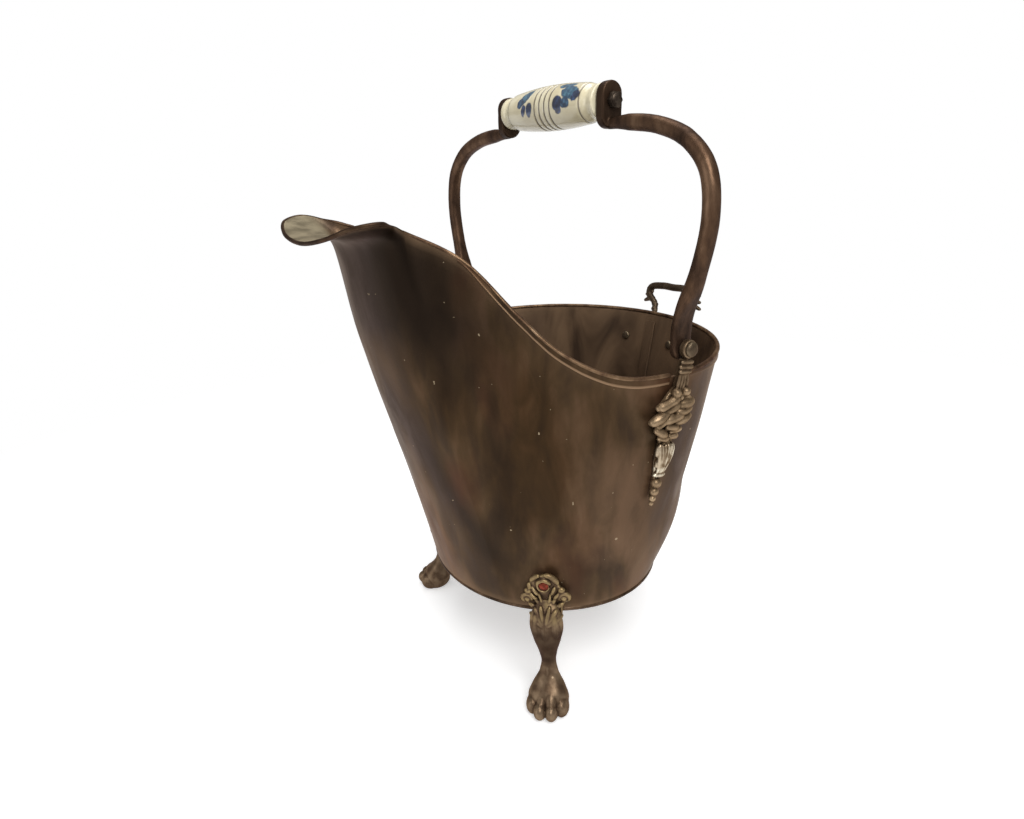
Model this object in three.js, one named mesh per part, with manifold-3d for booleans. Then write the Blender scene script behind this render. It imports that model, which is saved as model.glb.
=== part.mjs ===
// Helmet-shaped coal scuttle on three paw feet, with a swinging bail handle.
// Units are millimetres, +Z is up, the spout points along -Y, the bail turns about X.
import * as THREE from 'three';
import { mergeVertices } from 'three/addons/utils/BufferGeometryUtils.js';
import Module from 'manifold-3d';

const wasm = await Module();
wasm.setup();

// ---------- driving dimensions ----------
const GAP = 0.3; // clearance between neighbouring pieces
const SHEET = 1.6; // sheet metal thickness of the wall

// base oval, at the foot of the wall
const BASE_Z = 68.8;
const BASE_RX = 95;
const BASE_RY = 79.2;

// opening: the ears sit on the rim at its widest place
const EAR_X = 122.6;
const EAR_Y = 28.8;
const EAR_Z = 230;
const BACK_Y = 127;
const BACK_Z = 230;

// front half of the rim, from the lip to the side, each with half width, depth and height
const RIM_STATIONS = [
  { at: 'lip tip', half: 0, y: -151.5, z: 323 },
  { at: 'lip nose', half: 33, y: -149.2, z: 326.4 },
  { at: 'lip corner', half: 54, y: -141, z: 332 },
  { at: 'lip heel', half: 60, y: -127.5, z: 333.2 },
  { at: 'throat', half: 37, y: -104.5, z: 325 },
  { at: 'throat side', half: 55.8, y: -79, z: 307 },
  { at: 'slope', half: 79.2, y: -58.6, z: 273.6 },
  { at: 'shoulder', half: 96, y: -43, z: 252 },
  { at: 'side', half: 114, y: -16, z: 235 },
];
const BACK_STATIONS = 5; // stations of the round back half, ear to middle

// how the wall runs from base to rim
const THROAT_STATION = 4; // the station where the lip leaves the rim
const THROAT_Y = -112; // front of the throat, under the lip
const THROAT_Z = 326;
const LIP_TURN = 7; // higher turns the wall into the lip more sharply
const WALL_BELLY = 2.6; // outward bulge half way up the wall
const NECK_BELLY = 11.5; // further bulge of the front, highest under the lip
const NECK_STATION = 6; // the station where that further bulge has died away
const LOW_BELLY = 4.5; // further bulge of the round back, low down
const LOW_TOP = 0.45; // how far up the wall that low bulge reaches

// rolled wire edges
const RIM_BEAD_R = 2;
const BASE_BEAD_R = 1.7;
const EAR_BREAK = 6.2; // half length of the break in the rim wire at each ear

// ear castings, in the wall's own frame: q runs up the wall from the rim, r outward
const EAR_THICK = 2.4;
const EAR_LEAN = 0.18; // how far the casting leans forward on its way down
const EYE_R = 5.6;
const EYE_W = 4.4; // width of the eye along the pivot
const EAR_SEAT_Y = 22.5; // where the ear sits on the rim
const EYE_X = 128.6; // middle of the ear's eye
const PIVOT_Y = 25.1;
const PIVOT_Z = 246.5;
const PIN_R = 2.2;
const PIN_FIT = 0.3; // pin to hole
const PIN_HEAD_R = 4.4;
const PIN_HEAD_H = 2.2;
const WASHER_T = 1;
const WASHER_R = 4.1;

// bail: two arms, a ceramic grip and its rod
const BAIL_TILT = 4.1; // degrees the standing bail leans back
const ARM_X = 122.4; // middle plane of the flattened arm ends
const ARM_R = 4.9;
const ARM_END_R = 3.5;
const ARM_FLAT_T = 4.6;
const ARM_FLAT_W = 15;
const GRIP_V = 140.9; // rod axis above the pivot
const GRIP_HALF = 49.6;
const GRIP_END_R = 10.6;
const GRIP_MID_R = 14.2;
const COLLAR_R = 9.4;
const COLLAR_L = 2.6;
const ROD_R = 2.4;
const TAB_T = 7;
const TAB_RISE = 3.4; // straight sides carry on past the rod before the round top
const TAB_W = 16;
const TAB_DROP = 15.6; // from the rod axis to the foot of the tab
const NUT_AF = 9;
const NUT_H = 4.6;

// tipping handle on the back wall
const HANDLE_R = 2.5;
const HANDLE_SPAN = 27;
const HANDLE_WAIST = 11.5;
const HANDLE_TOP_Z = 248.5;
const HANDLE_FOOT_Z = 209;
const HANDLE_FOOT_X = 25;

// lion-paw feet: r runs outward from the wall, z up from the floor
const FOOT_ANGLE_RIGHT = 51.6; // places on the base oval, from the spout
const FOOT_ANGLE_LEFT = 62; // the photo shows this foot further round
const FOOT_TURN = 5; // the paws turn this much towards the spout
const FOOT_LEAF_TOP = 101;
const FOOT_LEAF_W = 33;
const FOOT_LEAF_T = 2.6;
const PAW_REACH = 38;
const TOE_SWEEP = 0.09; // how much the outer toes stand back
const RIVET_R = 2;
const RIVET_HEAD_R = 3.6;

const rad = THREE.MathUtils.degToRad;
const V = (x, y, z) => new THREE.Vector3(x, y, z);

// ---------- colours ----------
const COLOURS = {
  patina: [0x4b382b, 0.75, 0.55],
  edge: [0x8c7358, 0.75, 0.5],
  arm: [0x6b4a36, 0.7, 0.55],
  casting: [0x9a8460, 0.8, 0.45],
  foot: [0x7a6442, 0.8, 0.45],
  steel: [0x57503f, 0.7, 0.5],
  ceramic: [0xe8dfc4, 0, 0.25],
};
const group = new THREE.Group();
group.name = 'coal_scuttle';

function clean(geometry) {
  const bare = geometry.clone();
  for (const key of Object.keys(bare.attributes)) {
    if (key !== 'position') bare.deleteAttribute(key);
  }
  const merged = mergeVertices(bare, 1e-4);
  const index = merged.index.array;
  const kept = [];
  for (let i = 0; i < index.length; i += 3) {
    const [a, b, c] = [index[i], index[i + 1], index[i + 2]];
    if (a !== b && b !== c && a !== c) kept.push(a, b, c);
  }
  merged.setIndex(kept);
  return merged;
}

function solid(geometry) {
  const g = clean(geometry);
  const mesh = new wasm.Mesh({
    numProp: 3,
    vertProperties: new Float32Array(g.attributes.position.array),
    triVerts: new Uint32Array(g.index.array),
  });
  return new wasm.Manifold(mesh);
}

function shape(manifold) {
  const mesh = manifold.getMesh();
  const g = new THREE.BufferGeometry();
  g.setAttribute('position', new THREE.BufferAttribute(new Float32Array(mesh.vertProperties), 3));
  g.setIndex([...mesh.triVerts]);
  return g;
}

function join(geometries, cuts = []) {
  let body = solid(geometries[0]);
  for (const g of geometries.slice(1)) body = body.add(solid(g));
  for (const g of cuts) body = body.subtract(solid(g));
  return shape(body);
}

function add(name, geometry, colour) {
  const g = clean(geometry);
  g.computeVertexNormals();
  const [color, metalness, roughness] = COLOURS[colour];
  const mesh = new THREE.Mesh(g, new THREE.MeshStandardMaterial({ color, metalness, roughness }));
  mesh.name = name;
  group.add(mesh);
  return mesh;
}

function mirrorX(geometry) {
  const g = clean(geometry);
  g.scale(-1, 1, 1);
  const index = g.index.array;
  for (let i = 0; i < index.length; i += 3) {
    [index[i], index[i + 1]] = [index[i + 1], index[i]];
  }
  return g;
}

// closes a stack of equal rings into one body; rings turn anticlockwise seen from the last one
function skin(rings, endless = false) {
  const n = rings[0].length;
  const points = rings.flat();
  const faces = [];
  const stacks = endless ? rings.length : rings.length - 1;
  for (let i = 0; i < stacks; i++) {
    const a = i * n;
    const b = ((i + 1) % rings.length) * n;
    for (let j = 0; j < n; j++) {
      const k = (j + 1) % n;
      faces.push(a + j, a + k, b + k, a + j, b + k, b + j);
    }
  }
  if (!endless) {
    for (const [start, flip] of [[0, true], [(rings.length - 1) * n, false]]) {
      const centre = V(0, 0, 0);
      for (let j = 0; j < n; j++) centre.add(points[start + j]);
      points.push(centre.divideScalar(n));
      const c = points.length - 1;
      for (let j = 0; j < n; j++) {
        const k = (j + 1) % n;
        if (flip) faces.push(c, start + k, start + j);
        else faces.push(c, start + j, start + k);
      }
    }
  }
  const g = new THREE.BufferGeometry().setFromPoints(points);
  g.setIndex(faces);
  return g;
}

// sweeps an oval along points that stay close to a plane with the given normal
function sweep(points, sizes, normal, sides) {
  const rings = points.map((p, i) => {
    const before = points[Math.max(i - 1, 0)];
    const after = points[Math.min(i + 1, points.length - 1)];
    const along = after.clone().sub(before).normalize();
    const across = normal.clone().cross(along).normalize();
    const wide = along.clone().cross(across).normalize();
    const [ra, rw] = sizes(i / (points.length - 1));
    return Array.from({ length: sides }, (_, k) => {
      const t = (2 * Math.PI * k) / sides;
      return p.clone().addScaledVector(across, ra * Math.cos(t)).addScaledVector(wide, rw * Math.sin(t));
    });
  });
  return skin(rings);
}

// ---------- the rim and the wall ----------
function rimPoints() {
  const half = RIM_STATIONS.map((s) => V(s.half, s.y, s.z));
  for (let i = 0; i <= BACK_STATIONS; i++) {
    const t = (Math.PI / 2) * (i / BACK_STATIONS);
    const rise = (BACK_Z - EAR_Z) * Math.sin(t) ** 2;
    half.push(V(EAR_X * Math.cos(t), EAR_Y + (BACK_Y - EAR_Y) * Math.sin(t), EAR_Z + rise));
  }
  const other = half.slice(1, -1).reverse().map((p) => V(-p.x, p.y, p.z));
  return [...half, ...other];
}
const rimCurve = new THREE.CatmullRomCurve3(rimPoints(), true, 'centripetal');
const EAR_U = RIM_STATIONS.length;
const BACK_U = EAR_U + BACK_STATIONS;

// u counts stations: 0 at the lip tip, EAR_U at the right ear, BACK_U at the middle of the back
function rimAt(u) {
  return rimCurve.getPoint((((u / (2 * BACK_U)) % 1) + 1) % 1);
}
const rimSamples = Array.from({ length: EAR_U * 8 + 1 }, (_, i) => rimAt(i / 8));
const rimRun = rimSamples.map((_, i) => {
  let run = 0;
  for (let k = 1; k <= i; k++) run += rimSamples[k].distanceTo(rimSamples[k - 1]);
  return run;
});

function baseAngle(u) {
  if (u > BACK_U) return -baseAngle(2 * BACK_U - u);
  if (u < 0) return -baseAngle(-u);
  if (u >= EAR_U) return (Math.PI / 2) * (1 + (u - EAR_U) / BACK_STATIONS);
  const k = Math.min(Math.floor(u * 8), EAR_U * 8 - 1);
  const run = rimRun[k] + (rimRun[k + 1] - rimRun[k]) * (u * 8 - k);
  return (Math.PI / 2) * (run / rimRun[rimRun.length - 1]);
}

function baseAt(u) {
  const psi = baseAngle(u);
  return V(BASE_RX * Math.sin(psi), -BASE_RY * Math.cos(psi), BASE_Z);
}

// where the wall under the lip would end if it did not turn out: a rounded nose
function throatAt(u) {
  const end = rimAt(Math.sign(u) * THROAT_STATION);
  const phi = (Math.PI / 2) * Math.abs(u / THROAT_STATION);
  const front = Math.cos(phi);
  const y = end.y + (THROAT_Y - end.y) * front;
  return V(end.x * Math.sin(phi), y, end.z + (THROAT_Z - end.z) * front);
}

function bezierAt(u, t) {
  const foot = baseAt(u);
  const top = rimAt(u);
  const inLip = Math.abs(u) < THROAT_STATION;
  const mid = inLip ? throatAt(u || 1e-6) : foot.clone().lerp(top, 0.5);
  const w = inLip ? LIP_TURN : 1;
  const [a, b, c] = [(1 - t) ** 2, 2 * t * (1 - t) * w, t * t];
  const p = V(0, 0, 0).addScaledVector(foot, a).addScaledVector(mid, b).addScaledVector(top, c);
  return p.divideScalar(a + b + c);
}

// middle surface of the wall: u along the rim, t from base (0) to rim wire (1), even along the column
const columnCache = new Map();
function column(u) {
  const wrapped = u > BACK_U ? u - 2 * BACK_U : u;
  const key = wrapped.toFixed(5);
  if (!columnCache.has(key)) {
    const steps = 60;
    const points = Array.from({ length: steps + 1 }, (_, i) => bezierAt(wrapped, i / steps));
    const runs = [0];
    for (let i = 1; i <= steps; i++) runs.push(runs[i - 1] + points[i].distanceTo(points[i - 1]));
    const turn = Math.abs(wrapped) < THROAT_STATION ? throatAt(wrapped || 1e-6) : points[steps];
    const below = points[0].distanceTo(turn);
    const bend = below / (below + turn.distanceTo(points[steps]));
    columnCache.set(key, { points, runs, steps, bend });
  }
  return columnCache.get(key);
}

function wallAt(u, t) {
  const { points, runs, steps } = column(u);
  const run = t * runs[steps];
  let i = 1;
  while (i < steps && runs[i] < run) i++;
  const k = (run - runs[i - 1]) / (runs[i] - runs[i - 1]);
  const p = points[i - 1].clone().lerp(points[i], k);
  const foot = baseAt(u);
  const out = V(foot.x / BASE_RX ** 2, foot.y / BASE_RY ** 2, 0).normalize();
  const from = u > BACK_U ? u - 2 * BACK_U : u;
  const front = Math.max(0, 1 - (from / NECK_STATION) ** 2);
  const neck = NECK_BELLY * front * Math.sin(Math.PI * Math.min(t, 1) ** 2);
  const behind = THREE.MathUtils.smoothstep(-Math.cos(baseAngle(u)), 0, 0.7);
  const low = LOW_BELLY * behind * Math.sin(Math.PI * Math.min(t / LOW_TOP, 1));
  return p.addScaledVector(out, WALL_BELLY * Math.sin(Math.PI * Math.min(t, 1)) + neck + low);
}

function wallFrame(u, t) {
  const e = 0.004;
  const p = wallAt(u, t);
  const up = wallAt(u, Math.min(t + e, 1)).sub(wallAt(u, Math.max(t - e, 0))).normalize();
  const round = wallAt(u + e, t).sub(wallAt(u - e, t)).normalize();
  const out = round.clone().cross(up).normalize();
  return { p, up, out, side: up.clone().cross(out).normalize() };
}

const COLUMNS_LIP = 4; // columns to a station in front
const WALL_ROWS = 14;
const BEND_REACH = 0.14; // rows crowd together this far to each side of the bend under the lip
function wallColumns() {
  const us = [];
  for (let i = 0; i < EAR_U * COLUMNS_LIP; i++) us.push(i / COLUMNS_LIP);
  for (let i = 0; i < BACK_STATIONS * 2; i++) us.push(EAR_U + i / 2);
  const back = us.slice(1).reverse().map((u) => 2 * BACK_U - u);
  return [...us, BACK_U, ...back];
}

// row places of a column, closer together where it turns into the lip
function crowded(u, k) {
  const { bend } = column(u);
  const reach = Math.min(BEND_REACH, 1 - bend);
  if (reach <= 0 || Math.abs(k - bend) >= reach) return k;
  return k - (0.75 * reach * Math.sin((Math.PI * (k - bend)) / reach)) / Math.PI;
}

// t at which the wall edge stops short of the wire that runs along it
function edgeT(u, r, fromTop) {
  const wireAt = fromTop ? rimAt : baseAt;
  const near = Array.from({ length: 33 }, (_, i) => wireAt(u + (i - 16) / 16));
  let t = fromTop ? 1 : 0;
  for (let i = 0; i < 400; i++) {
    const p = wallAt(u, t);
    if (Math.min(...near.map((q) => q.distanceTo(p))) >= r + GAP + 0.4) break;
    t += fromTop ? -0.0015 : 0.0015;
  }
  return t;
}

function wallShell() {
  const columns = wallColumns();
  const rings = columns.map((u) => {
    const t0 = edgeT(u, BASE_BEAD_R, false);
    const t1 = edgeT(u, RIM_BEAD_R, true);
    const outer = [];
    const inner = [];
    for (let i = 0; i <= WALL_ROWS; i++) {
      const k = crowded(u, i / WALL_ROWS);
      const { p, out } = wallFrame(u, t0 + (t1 - t0) * k);
      outer.push(p.clone().addScaledVector(out, SHEET / 2));
      inner.push(p.clone().addScaledVector(out, -SHEET / 2));
    }
    return [...outer, ...inner.reverse()];
  });
  return skin(rings.reverse(), true);
}


// ---------- helpers for round and flat stock ----------
function ball(r, x, y, z, squash = 1, detail = 6) {
  const g = new THREE.SphereGeometry(r, detail, Math.max(detail - 3, 4));
  g.scale(1, 1, squash);
  g.translate(x, y, z);
  return g;
}

function capsule(r, length, x, y, z, turn, detail = 5) {
  const g = new THREE.CapsuleGeometry(r, length, 1, detail);
  g.rotateZ(rad(90 + turn));
  g.translate(x, y, z);
  return g;
}

// a cylinder along the local X axis
function bar(r, length, x, y, z, sides = 24) {
  const g = new THREE.CylinderGeometry(r, r, length, sides);
  g.rotateZ(-Math.PI / 2);
  g.translate(x, y, z);
  return g;
}

function plate(outline, thick, z0, bevel = 0) {
  const s = new THREE.Shape(outline.map(([x, y]) => new THREE.Vector2(x, y)));
  const g = new THREE.ExtrudeGeometry(s, {
    depth: thick - 2 * bevel, bevelEnabled: bevel > 0, bevelThickness: bevel, bevelSize: bevel,
    bevelOffset: -bevel, bevelSegments: 1, curveSegments: 8,
  });
  g.translate(0, 0, z0 + bevel);
  return g;
}

function symmetric(half) {
  return [...half, ...half.slice().reverse().filter(([x]) => x > 0).map(([x, y]) => [-x, y])];
}

// carries a piece from its local frame (side, up, out) to a place on the wall
function place(geometry, frame) {
  const m = new THREE.Matrix4().makeBasis(frame.side, frame.up, frame.out).setPosition(frame.p);
  const g = clean(geometry);
  g.applyMatrix4(m);
  return g;
}

const FACE = SHEET / 2 + GAP; // from the wall's middle surface to the back of a casting

// a rivet along the local Z axis, with a low head inside the wall; a domed head closes the outer end,
// or the shank ends blind inside a casting
function rivet(x, y, inside, outside, domed = true) {
  const r = RIVET_HEAD_R;
  const head = [[0, inside - 1.3], [r * 0.8, inside - 1.1], [r, inside], [RIVET_R, inside], [RIVET_R, outside]];
  if (domed) head.push([r, outside], [r, outside + 0.5], [r * 0.62, outside + 1.6]);
  head.push([0, outside + (domed ? 1.9 : 0)]);
  const g = new THREE.LatheGeometry(head.map(([px, py]) => new THREE.Vector2(px, py)), 9);
  g.rotateX(Math.PI / 2);
  g.translate(x, y, 0);
  return g;
}
const INSIDE = -SHEET / 2 - GAP - 0.15; // seat of a rivet's inner head

function rivetHole(x, y, deep) {
  const g = new THREE.CylinderGeometry(RIVET_R + GAP, RIVET_R + GAP, 2 * deep, 9);
  g.rotateX(Math.PI / 2);
  g.translate(x, y, 0);
  return g;
}

// ---------- ears ----------
// the ear's own frame stands on the rim, its back plane along the wall
function seatOnRim(y) {
  let [low, high] = [THROAT_STATION, EAR_U];
  for (let i = 0; i < 40; i++) {
    const mid = (low + high) / 2;
    if (rimAt(mid).y < y) low = mid;
    else high = mid;
  }
  return low;
}
const earU = seatOnRim(EAR_SEAT_Y);
const earWall = wallFrame(earU, 0.72);
function earFrame() {
  const out = earWall.out.clone();
  const lean = V(0, EAR_LEAN, 1);
  const up = lean.addScaledVector(out, -lean.dot(out)).normalize();
  return { p: rimAt(earU), up, out, side: up.clone().cross(out).normalize() };
}
const EAR = earFrame();
const EAR_STUDS = [-23, -53];

// how far the wall stands out from the ear's plane within a patch of it: [least, most]
function wallRise(sideReach, qLow, qHigh) {
  let [least, most] = [Infinity, -Infinity];
  for (let u = earU - 0.8; u <= earU + 0.8; u += 0.04) {
    for (let t = 0.4; t <= 0.99; t += 0.01) {
      const local = wallAt(u, t).sub(EAR.p);
      const q = local.dot(EAR.up);
      if (q < qLow || q > qHigh || Math.abs(local.dot(EAR.side)) > sideReach) continue;
      least = Math.min(least, local.dot(EAR.out));
      most = Math.max(most, local.dot(EAR.out));
    }
  }
  return [least, most];
}
const EAR_RISE = Math.max(wallRise(9, -85, -36)[1], wallRise(13, -36, -8)[1]);
const EAR_BACK = FACE + EAR_RISE + 0.15;
const EYE_Q = (PIVOT_Z - EAR.p.z) / EAR.up.z;
const EYE_OUT = (EYE_X - EAR.p.x - EYE_Q * EAR.up.x) / EAR.out.x;

const EAR_OUTLINE = symmetric([
  [0, 9], [4.6, 9], [4.8, -7], [9, -11], [12.5, -18], [13.5, -27], [11, -36], [7, -40], [7.6, -47],
  [6.4, -58], [3.6, -66], [3.2, -74], [2.6, -82], [1.2, -87.5], [0, -88.5],
]);

function earCasting() {
  const f = EAR_BACK + EAR_THICK;
  const parts = [plate(EAR_OUTLINE, EAR_THICK, EAR_BACK)];
  parts.push(plate([[-4.4, -8], [4.4, -8], [4.4, 12], [-4.4, 12]], EYE_W, EYE_OUT - EYE_W / 2));
  for (const q of [7.2, 9.6]) parts.push(capsule(1.5, 9, 0, q, EYE_OUT + 1.4, 0));
  for (const x of [-3, 0, 3]) parts.push(capsule(1.2, 9, x, 0, f + 2.2, 90));
  for (const x of [-3, 3]) parts.push(ball(3.2, x, -11.5, f + 2.4));
  const folds = [
    [-8, -17, 24, 8, 3.1], [7.5, -16, -28, 7, 3.1], [0, -15, 0, 3, 3], [-9.6, -25, 38, 10, 3.1],
    [8.8, -24, -22, 8, 3.3], [-2, -22.5, -8, 7, 3.3], [5.5, -30.5, -20, 8, 3.1], [-4.5, -31, 18, 7, 3],
  ];
  for (const [x, y, turn, length, r] of folds) parts.push(capsule(r, length, x, y, f + 1.3, turn));
  for (const x of [-3.8, 3.8]) parts.push(capsule(2.9, 3.6, x, -38.5, f + 1, x * 5));
  const husk = [[0, -67], [2.6, -66.5], [4.2, -60], [5.8, -53], [6.4, -48], [5, -44], [0, -43]];
  const g = new THREE.LatheGeometry(husk.map(([x, y]) => new THREE.Vector2(x, y)), 8);
  g.scale(1, 1, 0.75);
  g.translate(0, 0, f);
  parts.push(g);
  parts.push(capsule(1.7, 3.6, 0, -68.5, f + 0.6, 0));
  for (const [q, r] of [[-73.5, 4], [-80, 3.2], [-85, 2.5]]) parts.push(ball(r, 0, q, f + 0.2, 0.8));
  return parts;
}

const earBackCut = new THREE.BoxGeometry(60, 100, 20);
earBackCut.translate(0, -55, EAR_BACK - 10);
const EAR_STUD = EAR_BACK + EAR_THICK; // how deep the studs reach into the casting

// the pivot axis runs along world X, so the bore is cut after the casting is in place
const PIVOT = V(0, PIVOT_Y, PIVOT_Z);
function alongX(geometry, x) {
  const g = clean(geometry);
  g.translate(x, PIVOT.y, PIVOT.z);
  return g;
}

const earBody = join([
  ...earCasting().map((g) => place(g, EAR)),
  alongX(bar(EYE_R, EYE_W, 0, 0, 0, 20), EYE_X),
], [
  alongX(bar(PIN_R + PIN_FIT, 60, 0, 0, 0, 20), EYE_X),
  place(earBackCut, EAR),
  ...EAR_STUDS.map((q) => place(rivetHole(0, q, EAR_STUD + GAP), EAR)),
]);

function washer(inner, outer, thick, x) {
  const ring = [[inner, 0], [outer, 0], [outer, thick], [inner, thick], [inner, 0]];
  const g = new THREE.LatheGeometry(ring.map(([r, y]) => new THREE.Vector2(r, y)), 20);
  g.rotateZ(-Math.PI / 2);
  g.translate(x, 0, 0);
  return g;
}

// a turned piece along X; its profile runs from one end on the axis to the other
function turned(profile, sides) {
  const g = new THREE.LatheGeometry(profile.map(([x, r]) => new THREE.Vector2(r, x)), sides);
  g.rotateZ(-Math.PI / 2);
  return g;
}

// pivot pin: dome outside the ear, shank through eye, washer and arm, small tail inside
const ARM_FACE = ARM_X + ARM_FLAT_T / 2;
const EYE_FACE = EYE_X + EYE_W / 2;
const PIN_TAIL = ARM_X - ARM_FLAT_T / 2 - GAP;
const pivotPin = turned([
  [PIN_TAIL - 1.8, 0], [PIN_TAIL - 1.6, PIN_HEAD_R * 0.5], [PIN_TAIL - 0.6, PIN_HEAD_R * 0.8],
  [PIN_TAIL, PIN_HEAD_R * 0.8], [PIN_TAIL, PIN_R], [EYE_FACE + GAP, PIN_R],
  [EYE_FACE + GAP, PIN_HEAD_R], [EYE_FACE + GAP + 0.8, PIN_HEAD_R],
  [EYE_FACE + GAP + PIN_HEAD_H, PIN_HEAD_R * 0.5], [EYE_FACE + GAP + PIN_HEAD_H + 0.3, 0],
], 16);

// ---------- bail ----------
// drawn upright about the pivot, then leaned back by BAIL_TILT
function lean(geometry) {
  const g = clean(geometry);
  g.rotateX(-rad(BAIL_TILT));
  g.translate(PIVOT.x, PIVOT.y, PIVOT.z);
  return g;
}
const ARM_TOP = GRIP_V - 12.9; // where the arms run into the tabs, clear of the nuts
const ARM_PATH = new THREE.CatmullRomCurve3([
  V(ARM_X, 0, 0), V(ARM_X, 0, 12), V(ARM_X + 2.6, 0, 24), V(131.4, 0, 41), V(138.4, 0, ARM_TOP - 53),
  V(134.2, 0, ARM_TOP - 27.8), V(119.2, 0, ARM_TOP - 12.2), V(97.4, 0, ARM_TOP - 3.8),
  V(74, 0, ARM_TOP - 0.6), V(GRIP_HALF + 5, 0, ARM_TOP),
]);
const ARM_STEPS = 28;

function armSize(t) {
  const flat = THREE.MathUtils.smoothstep(t, 0.1, 0.2);
  const slim = THREE.MathUtils.smoothstep(t, 0.88, 0.985);
  const r = ARM_R + (ARM_END_R - ARM_R) * slim;
  return [ARM_FLAT_T / 2 + (r - ARM_FLAT_T / 2) * flat, ARM_FLAT_W / 2 + (r - ARM_FLAT_W / 2) * flat];
}

const TAB_X = GRIP_HALF + GAP + 0.5 + TAB_T / 2;
function tabOutline() {
  const w = TAB_W / 2;
  const low = GRIP_V - TAB_DROP;
  const outline = [[-w * 0.7, low], [w * 0.7, low], [w, low + 4]];
  for (let a = 0; a <= 180; a += 20) outline.push([w * Math.cos(rad(a)), GRIP_V + TAB_RISE + w * Math.sin(rad(a))]);
  outline.push([-w, low + 4]);
  return outline;
}

function bailArm() {
  const points = ARM_PATH.getSpacedPoints(ARM_STEPS);
  const tube = sweep(points, armSize, V(0, 1, 0), 10);
  const eye = bar(ARM_FLAT_W / 2, ARM_FLAT_T, ARM_X, 0, 0, 24);
  const tab = plate(tabOutline(), TAB_T, -TAB_T / 2);
  tab.rotateX(Math.PI / 2);
  tab.rotateZ(Math.PI / 2);
  tab.translate(TAB_X, 0, 0);
  const cuts = [bar(PIN_R + PIN_FIT, 40, ARM_X, 0, 0, 20), bar(ROD_R + GAP, 20, TAB_X, 0, GRIP_V, 16)];
  return lean(join([tube, eye, tab], cuts));
}

// ceramic grip: collars at both ends, a swelling body, raised bands round the middle
const GRIP_BANDS = [-7.6, 0, 7.6];
function gripProfile() {
  const bore = ROD_R + 0.5;
  const body = GRIP_HALF - COLLAR_L;
  const outer = [[-GRIP_HALF, bore], [-GRIP_HALF, COLLAR_R - 0.6], [-GRIP_HALF + 0.6, COLLAR_R]];
  outer.push([-body, COLLAR_R], [-body, GRIP_END_R - 0.7]);
  const swell = (x) => GRIP_END_R + (GRIP_MID_R - GRIP_END_R) * Math.cos((Math.PI / 2) * (x / body)) ** 0.8;
  for (const x of [-body + 1, -39, -31, -22, -14.5]) outer.push([x, swell(x)]);
  for (const x of GRIP_BANDS) {
    outer.push([x - 3.4, swell(x) - 0.1], [x - 2.6, swell(x) + 0.5], [x + 2.6, swell(x) + 0.5], [x + 3.4, swell(x) - 0.1]);
  }
  const right = outer.slice(0, 10).reverse().map(([x, r]) => [-x, r]);
  return [...outer, ...right, [-GRIP_HALF, bore]];
}
const ROD_X = TAB_X + TAB_T / 2 + GAP + NUT_H - 1.6;
const tieRod = turned([[-ROD_X, 0], [-ROD_X, ROD_R], [ROD_X, ROD_R], [ROD_X, 0]], 16);
tieRod.translate(0, 0, GRIP_V);
const grip = turned(gripProfile(), 20);
grip.translate(0, 0, GRIP_V);

function rodNut() {
  const x = TAB_X + TAB_T / 2 + GAP;
  const hex = bar(NUT_AF / Math.sqrt(3), NUT_H - 1.4, x + (NUT_H - 1.4) / 2, 0, 0, 6);
  const dome = bar(NUT_AF / 2 - 0.4, NUT_H, x + NUT_H / 2, 0, 0, 16);
  const bore = bar(ROD_R + GAP, 2 * (ROD_X + GAP - x), x, 0, 0, 16);
  const g = join([hex, dome], [bore]);
  g.translate(0, 0, GRIP_V);
  return g;
}

// ---------- rim and base wires ----------
function wire(uStart, uEnd, r, perStation) {
  const count = Math.round((uEnd - uStart) * perStation);
  const us = Array.from({ length: count + 1 }, (_, i) => uStart + ((uEnd - uStart) * i) / count);
  const nib = 0.3 * (us[1] - us[0]);
  us.splice(1, 0, us[0] + nib * 0.25, us[0] + nib);
  us.splice(us.length - 1, 0, us[us.length - 1] - nib, us[us.length - 1] - nib * 0.25);
  const points = us.map((u) => rimAt(u));
  const scale = us.map((_, i) => [0.45, 0.85, 1][Math.min(i, us.length - 1 - i, 2)]);
  let i = -1;
  return sweep(points, () => {
    i += 1;
    return [r * scale[i], r * scale[i]];
  }, V(0, 0, 1), 6);
}

// the u at a given distance along the rim from the ear, forward (-1) or back (+1)
function pastEar(way) {
  let u = earU;
  while (rimAt(u).distanceTo(EAR.p) < EAR_BREAK) u += way * 0.002;
  return u;
}

function ovalRing(r) {
  const ring = Array.from({ length: 7 }, (_, k) => {
    const t = (2 * Math.PI * k) / 6;
    return new THREE.Vector2(BASE_RX + r * Math.cos(t), r * Math.sin(t));
  });
  ring[6] = ring[0].clone();
  const g = new THREE.LatheGeometry(ring, 48);
  g.rotateX(Math.PI / 2);
  g.scale(1, BASE_RY / BASE_RX, 1);
  g.translate(0, 0, BASE_Z);
  return g;
}

const PAN_Z = BASE_Z + BASE_BEAD_R + 2 * GAP;
const PAN_FLANGE = 3.2;
const PAN_T = 1.4;
function basePan() {
  const r = BASE_RX - SHEET / 2 - 2 * GAP;
  const section = [[0, 0], [r, 0], [r, PAN_FLANGE], [r - PAN_T, PAN_FLANGE], [r - PAN_T, PAN_T], [0, PAN_T]];
  const g = new THREE.LatheGeometry(section.map(([x, y]) => new THREE.Vector2(x, y)), 48);
  g.rotateX(Math.PI / 2);
  g.scale(1, (BASE_RY - (BASE_RX - r)) / r, 1);
  g.translate(0, 0, PAN_Z);
  return g;
}

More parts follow.
